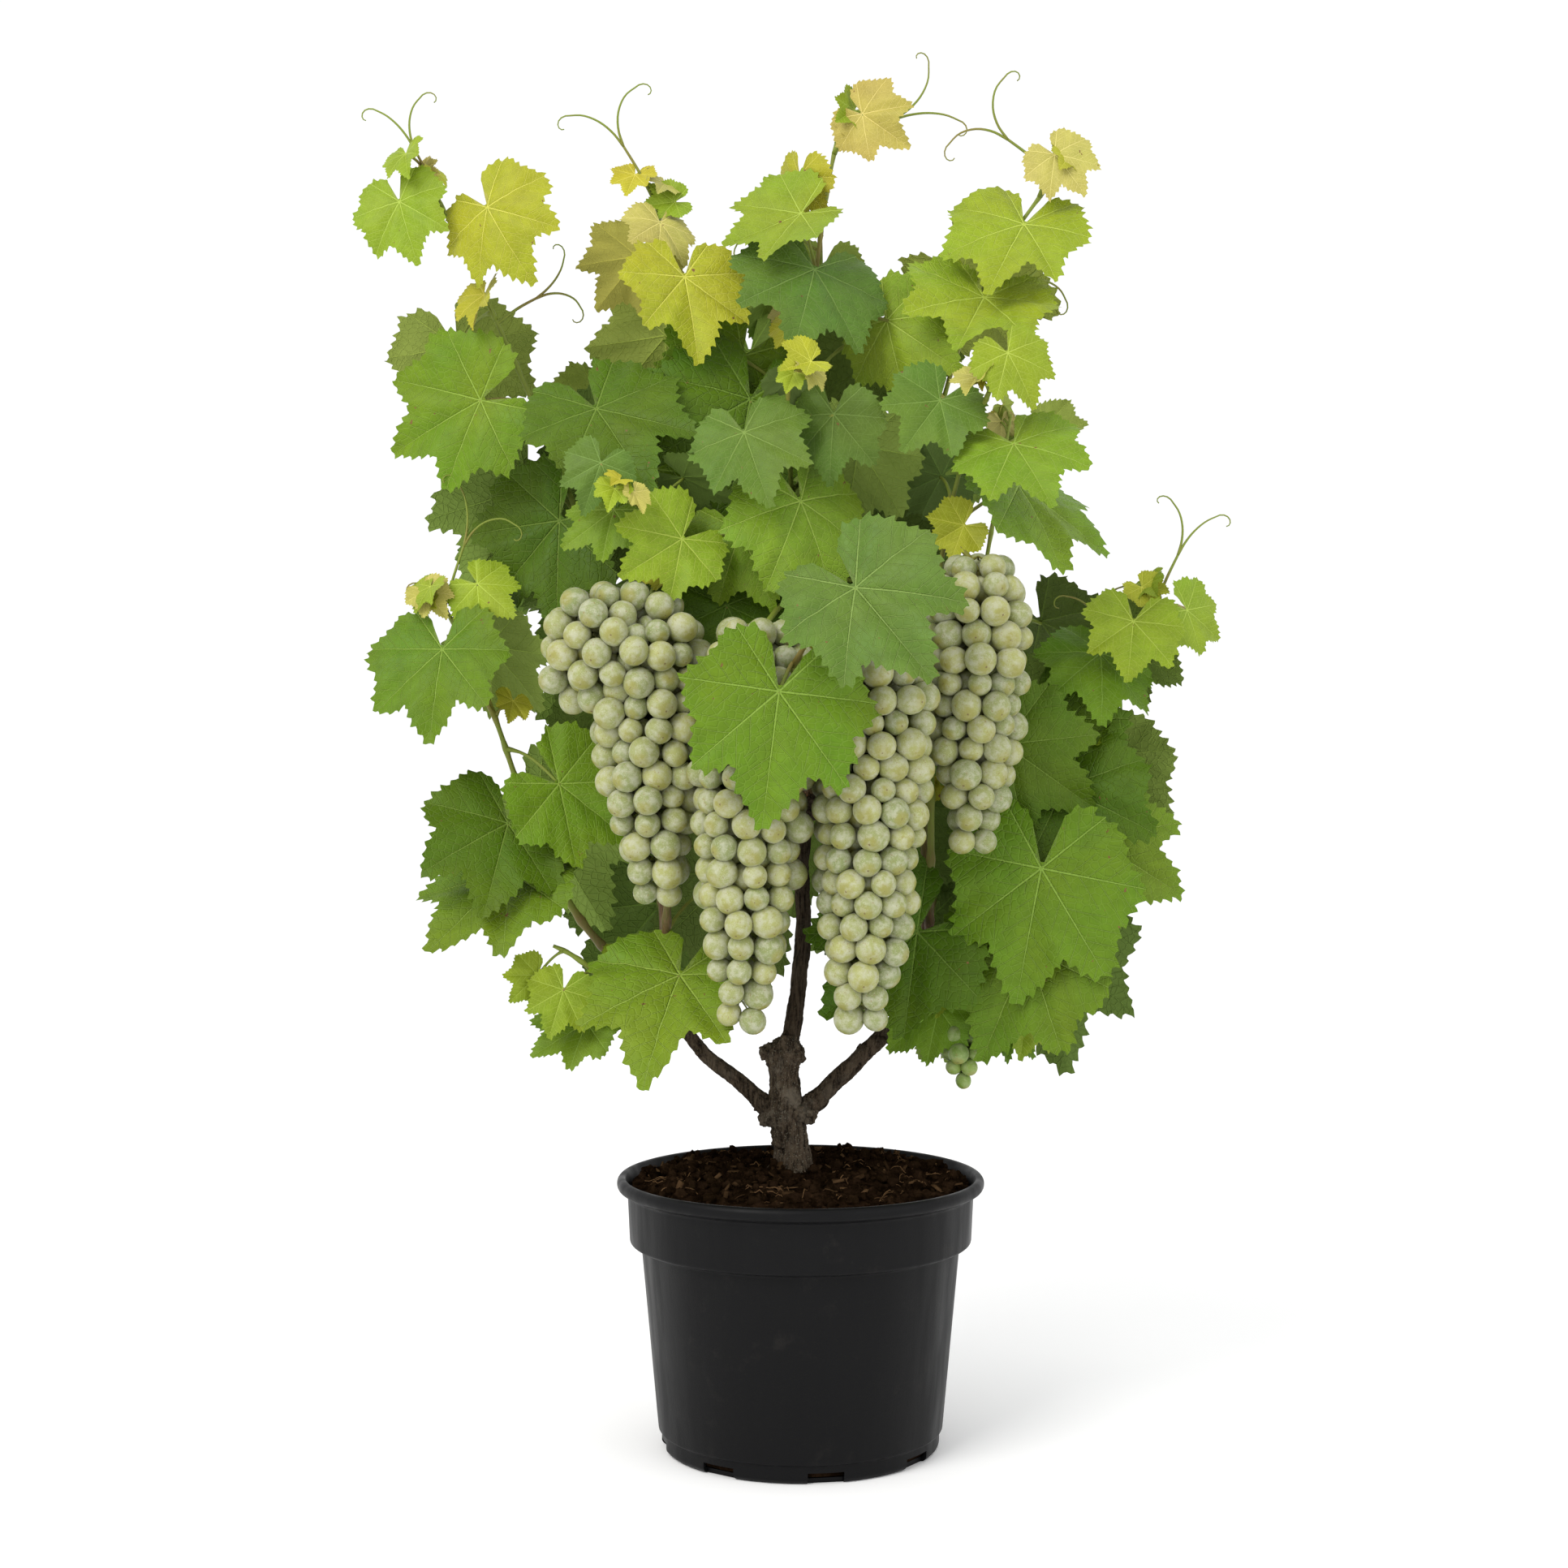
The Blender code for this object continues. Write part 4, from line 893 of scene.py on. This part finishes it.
def vein_group():
    """Masks of the veins from the vein coordinates: along a main vein, and away from it."""
    group = bpy.data.node_groups.new("leaf_veins", "ShaderNodeTree")
    for name, way, kind in (("Coordinates", "INPUT", "Vector"), ("Veins", "OUTPUT", "Float"),
                            ("Net", "OUTPUT", "Float")):
        group.interface.new_socket(name, in_out=way, socket_type="NodeSocket" + kind)
    entry, leave = group.nodes.new("NodeGroupInput"), group.nodes.new("NodeGroupOutput")
    of = Nodes(group)
    parts = of.add("SeparateXYZ", {"Vector": entry.outputs["Coordinates"]})
    along, across = parts.outputs["X"], parts.outputs["Y"]
    away = of.calc("ABSOLUTE", across)
    width = of.less(0.0125, of.times(along, 0.0100))
    main = of.less(1.0, of.ramp(of.calc("DIVIDE", away, width), 0.45, 1.1))
    side = of.times(of.calc("GREATER_THAN", across, 0.0), 0.5)
    turned = of.less(along, of.times(of.calc("POWER", away, 0.9), 0.80))
    phase = of.calc("FRACT", of.plus(of.calc("DIVIDE", turned, 0.135), side))
    near = of.calc("MINIMUM", phase, of.less(1.0, phase))
    fading = of.ramp(away, 0.04, 0.36, 1.0, 0.35, "LINEAR")
    second = of.times(of.less(1.0, of.ramp(near, 0.010, 0.050)), fading)
    scaled = of.add("VectorMath", {0: entry.outputs["Coordinates"], 1: (17.0, 17.0, 1.0)},
                    operation="MULTIPLY").outputs[0]
    cells = of.add("TexVoronoi", {"Vector": scaled, "Scale": 1.0}, feature="DISTANCE_TO_EDGE",
                   voronoi_dimensions="2D").outputs["Distance"]
    of.put(leave.inputs["Veins"], of.calc("MAXIMUM", main, second))
    of.put(leave.inputs["Net"], of.less(1.0, of.ramp(cells, 0.02, 0.14)))
    return group


blade = Finish("leaf", Roughness=0.5, Specular_IOR_Level=0.15)
masks = blade.add("Group", node_tree=vein_group())
blade.put(masks.inputs["Coordinates"], blade.add("UVMap", uv_map="Veins").outputs["UV"])
veins, net = masks.outputs["Veins"], masks.outputs["Net"]
own = blade.add("Attribute", attribute_name="tone").outputs
mottle = blade.noise(75.0, 5.0, 0.6)
toned, pale, dull = (
    blade.add("HueSaturation", {"Color": own["Color"], "Hue": hue, "Saturation": saturation,
                                "Value": value}).outputs["Color"]
    for hue, saturation, value in (
        (blade.ramp(blade.noise(14.0, 2.0, 0.5), 0.3, 0.7, 0.488, 0.512, "LINEAR"), 1.0,
         blade.ramp(mottle, 0.3, 0.7, 0.86, 1.14, "LINEAR")),
        (0.490, 0.88, 1.95), (0.490, 0.86, 1.12)))
veined = blade.mix(blade.times(veins, 0.72), blade.mix(blade.times(net, 0.16), toned, pale), pale)
top = blade.mix(blade.ramp(blade.noise(160.0, 2.0, 0.5), 0.735, 0.77), veined, LEAF_SPOT)
under = blade.mix(blade.times(veins, 0.55), dull, pale)
backface = blade.add("NewGeometry").outputs["Backfacing"]
raised = blade.plus(blade.times(veins, -0.9), blade.times(net, -0.35))
quilted = blade.times(blade.plus(raised, blade.times(mottle, 0.8)), own["Alpha"])
blade.feed(Base_Color=blade.mix(backface, top, under), Normal=blade.relief(quilted, 0.0011),
           Roughness=blade.ramp(backface, 0.0, 1.0, 0.46, 0.78, "LINEAR"))

for name, of_canes in LEAF_PIECES.items():
    points, quads, veining, tones = [], [], [], []
    low = 0
    for leaf in (leaf for leaf in leaves if leaf.cane in of_canes):
        verts, faces, coordinates = blade_mesh(leaf)
        points.append(verts)
        quads.append(np.where(faces >= 0, faces + low, -1))
        veining.append(coordinates)
        tones.append(np.tile([*leaf_tone(leaf), (leaf.length / 0.1) ** 2], (len(verts), 1)))
        low += len(verts)
    quads, veining = np.concatenate(quads), np.concatenate(veining)
    made = add_mesh(name, np.concatenate(points), [face[face >= 0] for face in quads], blade)
    layer = made.data.uv_layers.new(name="Veins")
    layer.data.foreach_set("uv", veining[quads >= 0].astype(np.float32).ravel())
    carry(made, "tone", np.concatenate(tones), "FLOAT_COLOR", "color")
    declare(made, "foliage", *of_canes)

# ------------------------ tendrils
# Tendrils stand opposite the youngest leaves. Each is a pale green thread that parts in two, and
# both arms curl over until they find something to hold.

TENDRIL_RADIUS = 0.00105
TENDRIL_STEPS = 4
TENDRIL_LENGTH = (0.075, 0.105)
LINE_STEPS = 14
CURLS = 6
CURL_SIZE = 0.0062
SAME_END = 0.0013  # how near the end of a tendril has to be to one of the frame's solid


def tendril_lines(rng, root, out, length):
    """The lines of one tendril: its stalk and its two arms."""
    stalk_end = root + out * length * 0.45 + UP * (0.08 * length)
    lines = [[root, root.lerp(stalk_end, 0.5) + UP * (0.02 * length), stalk_end]]
    ahead = (stalk_end - root).normalized()
    for way in (-1, 1):
        toward = Vector((rng.uniform(-0.3, 0.3), -1, rng.uniform(-0.3, 0.3)))
        axis = ahead.cross(toward).normalized().cross(ahead)
        point, aim = stalk_end - ahead * 0.001, ahead.copy()
        points = [point]
        bend = way * rng.uniform(0.10, 0.28)
        for step in range(TENDRIL_STEPS):
            aim.rotate(Quaternion(axis, bend * (1 + 0.45 * step)))
            point = point + aim * length * 0.55 / TENDRIL_STEPS
            points.append(point)
        lines.append(points)
    return lines


def curled(path, turn_axis):
    """The path carried on in a curl that closes as it goes."""
    aim, size = (path[-1] - path[-2]).normalized(), CURL_SIZE
    for k in range(CURLS):
        aim.rotate(Quaternion(turn_axis, 0.36 + 0.07 * k))
        size *= 0.90
        path = path + [path[-1] + aim * size * 0.62 + turn_axis * 0.0004]
    return path


tendrils = Pile()
for name, cane in CANES.items():
    for i in range(cane.tendrils):
        for attempt in range(ATTEMPTS):
            rng = random.Random(cane.seed * 7919 + i * 211 + attempt)
            t = 0.985 - 0.16 * i - rng.uniform(0, 0.03)
            side = 1 if (i + cane.seed) % 2 else -1
            out = heading(90 - side * rng.uniform(60, 120), rng.uniform(10, 75))
            lines = tendril_lines(rng, on_axis(cane, starts[name], t), out, rng.uniform(*TENDRIL_LENGTH))
            ends = [p for line in lines for p in line[1:]]
            if sum(corners[name].find(p)[2] < SAME_END for p in ends) >= 0.9 * len(ends):
                break
        else:
            continue
        for n, line in enumerate(lines):
            path = [spline(line, k / LINE_STEPS) for k in range(LINE_STEPS + 1)]
            if n:
                path = curled(path, (line[1] - line[0]).cross(line[-1] - line[-2]).normalized())
            first, taper = (1.0, 0.6) if n else (1.25, 0.25)
            thick = [TENDRIL_RADIUS * first * (1 - taper * k / len(path)) for k in range(len(path))]
            tendrils.add(tube(path, thick, 6), -0.1 + 0.2 * rng.random())
declare(tendrils.make("tendrils", shoots, "ripe"), "foliage", *CANES)

# ------------------------ grapes
# The bunches are ripe white grapes, round and close set on short pedicels about a branched stem.
# Their skins are golden green under a dusty bloom, each berry painted at random between a lit and a shaded
# tone, and each shows a brown scar at its outer end.

Bunch = namedtuple("Bunch", "cane along top foot width wing seed")
RIPE = (
    ("left", "cane_left_front", 0.80, (-0.112, -0.100, 0.630), (-0.104, -0.100, 0.432), 0.041, -1, 1),
    ("middle_left", "cane_front", 0.46, (-0.031, -0.128, 0.612), (-0.043, -0.126, 0.346), 0.042, 0, 2),
    ("middle_right", "cane_front", 0.42, (0.052, -0.130, 0.600), (0.043, -0.126, 0.345), 0.042, 0, 3),
    ("right", "cane_right_front", 0.72, (0.127, -0.100, 0.660), (0.124, -0.100, 0.470), 0.038, 0, 4),
)
UNRIPE = (
    ("green_left", "cane_left_spur", 0.30, (-0.118, -0.034, 0.318), (-0.116, -0.034, 0.292), 0.0145, 0, 5),
    ("green_right", "cane_right_spur", 0.30, (0.122, -0.034, 0.316), (0.122, -0.034, 0.284), 0.0160, 0, 6),
)
BUNCHES, GREEN_BUNCHES = ({"bunch_" + name: Bunch(*row) for name, *row in rows} for rows in (RIPE, UNRIPE))
WING_ROOT = (0.014, -0.004)
WING_REACH = (0.040, -0.046)
WING_WIDTH = 1.12
REAL_BERRY = 0.0106
REAL_GREEN_BERRY = 0.0073
PRESSED = 0.965  # the share of two radii at which neighbours stop being pressed apart
PRESSINGS = 40
BUNCH_STALK_RADIUS = 0.0021
FRECKLE, WINDOW = (0.24, 0.15, 0.05), (0.262, 0.248, 0.058)
# each skin: a painted lit tone, a painted shaded tone, its bloom and its scar
RIPE_SKIN = ((0.335, 0.342, 0.118), (0.205, 0.242, 0.090), (0.43, 0.432, 0.33), (0.16, 0.105, 0.045))
GREEN_SKIN = ((0.20, 0.29, 0.055), (0.14, 0.23, 0.04), (0.30, 0.36, 0.16), (0.10, 0.07, 0.02))


def bunch_radius(width, s):
    """Radius of a bunch at share s of its length: round shoulders, then a long taper."""
    return width * min(1.0, 0.66 + 3.2 * s) * (1 - 0.64 * s ** 3)


def bunch_stems(bunch):
    stems = [(Vector(bunch.top), Vector(bunch.foot), bunch.width)]
    if bunch.wing:
        shoulder = Vector(bunch.top) + Vector((bunch.wing * WING_ROOT[0], 0, WING_ROOT[1]))
        stems.append((shoulder, shoulder + Vector((bunch.wing * WING_REACH[0], 0, WING_REACH[1])),
                      bunch.width * WING_WIDTH))
    return stems


def berries_of(bunch, size, swell):
    """Centres, radii and stem ends of the berries, pressed apart from where they were set."""
    rng = random.Random(bunch.seed + 40)
    centres, radii, roots = [], [], []
    for top, foot, width in bunch_stems(bunch):
        length = (foot - top).length + swell
        along = (foot - top).normalized()
        across = along.orthogonal().normalized()
        other = along.cross(across)
        rows = max(2, int(length / (1.50 * size)))
        for row in range(rows + 1):
            s = row / rows
            full = bunch_radius(width, s) + swell - size * 1.02
            for layer, ring in enumerate((full, full - 1.75 * size)):
                if ring < 0.25 * size:
                    if layer:
                        continue
                    ring, count = 0.0, 1
                else:
                    count = max(2, int(tau * ring / (1.86 * size)))
                turn = row * 2.4 + rng.uniform(-0.5, 0.5)
                for i in range(count):
                    out = ring * rng.uniform(0.86, 1.04)
                    stem = top + along * (length * s - 0.35 * swell)
                    place = stem + along * rng.uniform(-0.2, 0.2) * size
                    place += out * round_axis(across, other, turn + tau * i / count)
                    centres.append(place)
                    radii.append(size * rng.uniform(0.82, 1.09))
                    roots.append(stem - along * size * 0.9)
    at, wide = np.array(centres), np.array(radii)
    home = at.copy()
    for _ in range(PRESSINGS):
        apart = at[:, None] - at[None]
        gap = np.linalg.norm(apart, axis=2) + 1e-9
        short = np.clip(PRESSED * (wide[:, None] + wide[None]) - gap, 0, None)
        np.fill_diagonal(short, 0)
        at += 0.35 * (apart / gap[..., None] * short[..., None]).sum(axis=1)
        at += 0.10 * (home - at)
    return at, wide, np.array(roots)


def fruit_finish(name, lit, shaded, bloom, scar):
    """The skin of a grape: a painted lit tone and a painted shaded tone mixed at random, under a bloom,
    freckles, and a clear window round its scar.
    """
    skin = Finish(name, Roughness=0.42, Specular_IOR_Level=0.28, Subsurface_Weight=0.12,
                  Subsurface_Radius=(0.006, 0.005, 0.002), Subsurface_Scale=1.0)
    pole = skin.carried("pole")
    mottle = skin.ramp(skin.noise(190.0, 4.0, 0.6), 0.38, 0.66)
    fleck = skin.ramp(skin.noise(1300.0, 2.0, 0.5), 0.56, 0.66)
    freckle = skin.ramp(skin.noise(620.0, 2.0, 0.5), 0.64, 0.70)
    window = skin.times(skin.ramp(pole, 0.72, 0.97), skin.ramp(mottle, 0.0, 1.0, 0.85, 0.50))
    # each berry's random share mixes the lit tone toward the shaded one: painted light and painted shade
    colour = skin.mix(skin.carried("own"), lit, shaded)
    for share, over in ((skin.times(mottle, 0.65), bloom),
                        (skin.times(fleck, 0.32), [1.25 * c for c in bloom]),
                        (skin.times(freckle, 0.55), FRECKLE), (window, WINDOW),
                        (skin.ramp(pole, 0.984, 0.993), scar)):
        colour = skin.mix(share, colour, over)
    skin.feed(Base_Color=colour, Roughness=skin.ramp(mottle, 0.0, 1.0, 0.36, 0.58, "LINEAR"),
              Normal=skin.relief(skin.noise(260.0, 3.0), 0.00012))
    return skin


def grape_piece(name, bunch, size, swell, finish, slot):
    """The berries of one bunch."""
    ball, ball_faces = unit_ball(2)
    rng = np.random.default_rng(bunch.seed)
    centres, radii, roots = berries_of(bunch, size, swell)
    verts, faces, poles, painted_shade_shares = [], [], [], []
    for n, (centre, radius, root) in enumerate(zip(centres, radii, roots)):
        outward = (centre - root) / (np.linalg.norm(centre - root) + 1e-9)
        outward = outward + rng.normal(0, 0.22, 3) + np.array([0, 0, -0.25])
        outward /= np.linalg.norm(outward)
        cosine = ball @ outward
        shape = ball * radius * (1 + 0.02 * rng.normal(size=3)) + 0.05 * radius * cosine[:, None] * outward
        shape -= 0.035 * radius * np.exp(-((1 - cosine) / 0.012))[:, None] * outward
        low = n * len(ball)
        verts.append(centre + shape)
        faces += [(a + low, b + low, c + low) for a, b, c in ball_faces]
        poles.append(cosine)
        # the share of the painted shaded tone in this berry, drawn at random
        painted_shade_shares.append(np.full(len(ball), rng.random()))
    made = add_mesh(name.replace("bunch", "grapes"), np.concatenate(verts), faces, finish)
    carry(made, "pole", np.concatenate(poles))
    carry(made, "own", np.concatenate(painted_shade_shares))
    declare(made, slot, name)
    return centres, roots


ripe_skin = fruit_finish("grape_skin", *RIPE_SKIN)
green_skin = fruit_finish("green_grape_skin", *GREEN_SKIN)
stalks = Pile()
for group, size, swell, finish, slot in (
        (BUNCHES, REAL_BERRY, 0.0035, ripe_skin, "grapes"),
        (GREEN_BUNCHES, REAL_GREEN_BERRY, 0.001, green_skin, "green_grapes")):
    for name, bunch in group.items():
        centres, roots = grape_piece(name, bunch, size, swell, finish, slot)
        hang, top = cane_point(bunch.cane, bunch.along), Vector(bunch.top)
        path = [hang, hang.lerp(top, 0.35) + UP * 0.005, hang.lerp(top, 0.7) + UP * 0.004, top]
        stalks.add(tube([spline(path, k / 16) for k in range(17)], [BUNCH_STALK_RADIUS] * 17, 8), 0.15)
        for head, end, _ in bunch_stems(bunch):
            stalks.add(tube([head.lerp(end, k / 8 * 0.95) for k in range(9)],
                            [0.0020 - 0.00012 * k for k in range(9)], 6), 0.1)
        for begin, end in ((Vector(root), Vector(centre)) for centre, root in zip(centres, roots)):
            middle = begin.lerp(end, 0.5) + UP * 0.0015
            stalks.add(tube([begin, middle, end], [0.0008, 0.0007, 0.0009], 4), 0.05)
declare(stalks.make("bunch_stalks", shoots, "ripe"), "foliage", *BUNCHES, *GREEN_BUNCHES)

# ------------------------ stage
# The plant stands on a plain pale floor in an empty white room, under soft daylight from above and
# a large soft light at the upper left.

DAYLIGHT = 1.03
FLOOR_HALF = 6
LAMPS = (  # place, size, power and colour; each points at the middle of the crown
    ("key", (-1.5, -2.0, 2.6), 1.6, 62.0, (1.0, 0.985, 0.955)),
    ("fill", (2.2, -1.6, 1.2), 2.0, 14.0, (0.96, 0.98, 1.0)),
)
LAMP_AIM = Vector((0.0, 0.0, 0.6))
SENSOR, LENS = 36.0, 55.9
EYE = (-0.0126, -1.8555, 0.542)
LOOK_DOWN = 1.14

room = bpy.data.worlds.new("studio")
room.use_nodes = True
background = room.node_tree.nodes["Background"]
background.inputs["Color"].default_value = (1.0, 1.0, 1.0, 1.0)
background.inputs["Strength"].default_value = DAYLIGHT
bpy.context.scene.world = room
bpy.context.scene.view_settings.view_transform = "Standard"

pale_floor = Finish("pale_floor", Base_Color=(0.98, 0.98, 0.98, 1), Roughness=0.9)
floor = add_mesh("floor", [(x, y, 0) for x, y in (
    (-FLOOR_HALF, -FLOOR_HALF), (FLOOR_HALF, -FLOOR_HALF), (FLOOR_HALF, FLOOR_HALF),
    (-FLOOR_HALF, FLOOR_HALF))], [(0, 1, 2, 3)], pale_floor, False)

for name, place, size, power, tint in LAMPS:
    lamp = bpy.data.lights.new(name, "AREA")
    lamp.size = size
    lamp.energy = power
    lamp.color = tint
    hung = bpy.data.objects.new(name, lamp)
    hung.location = place
    hung.rotation_euler = (LAMP_AIM - Vector(place)).to_track_quat("-Z", "Y").to_euler()
    bpy.context.scene.collection.objects.link(hung)

camera = bpy.data.cameras.new("camera")
camera.sensor_width = SENSOR
camera.lens = LENS
eye = bpy.data.objects.new("camera", camera)
eye.location = EYE
eye.rotation_euler = (radians(90 - LOOK_DOWN), 0.0, 0.0)
bpy.context.scene.collection.objects.link(eye)
bpy.context.scene.camera = eye
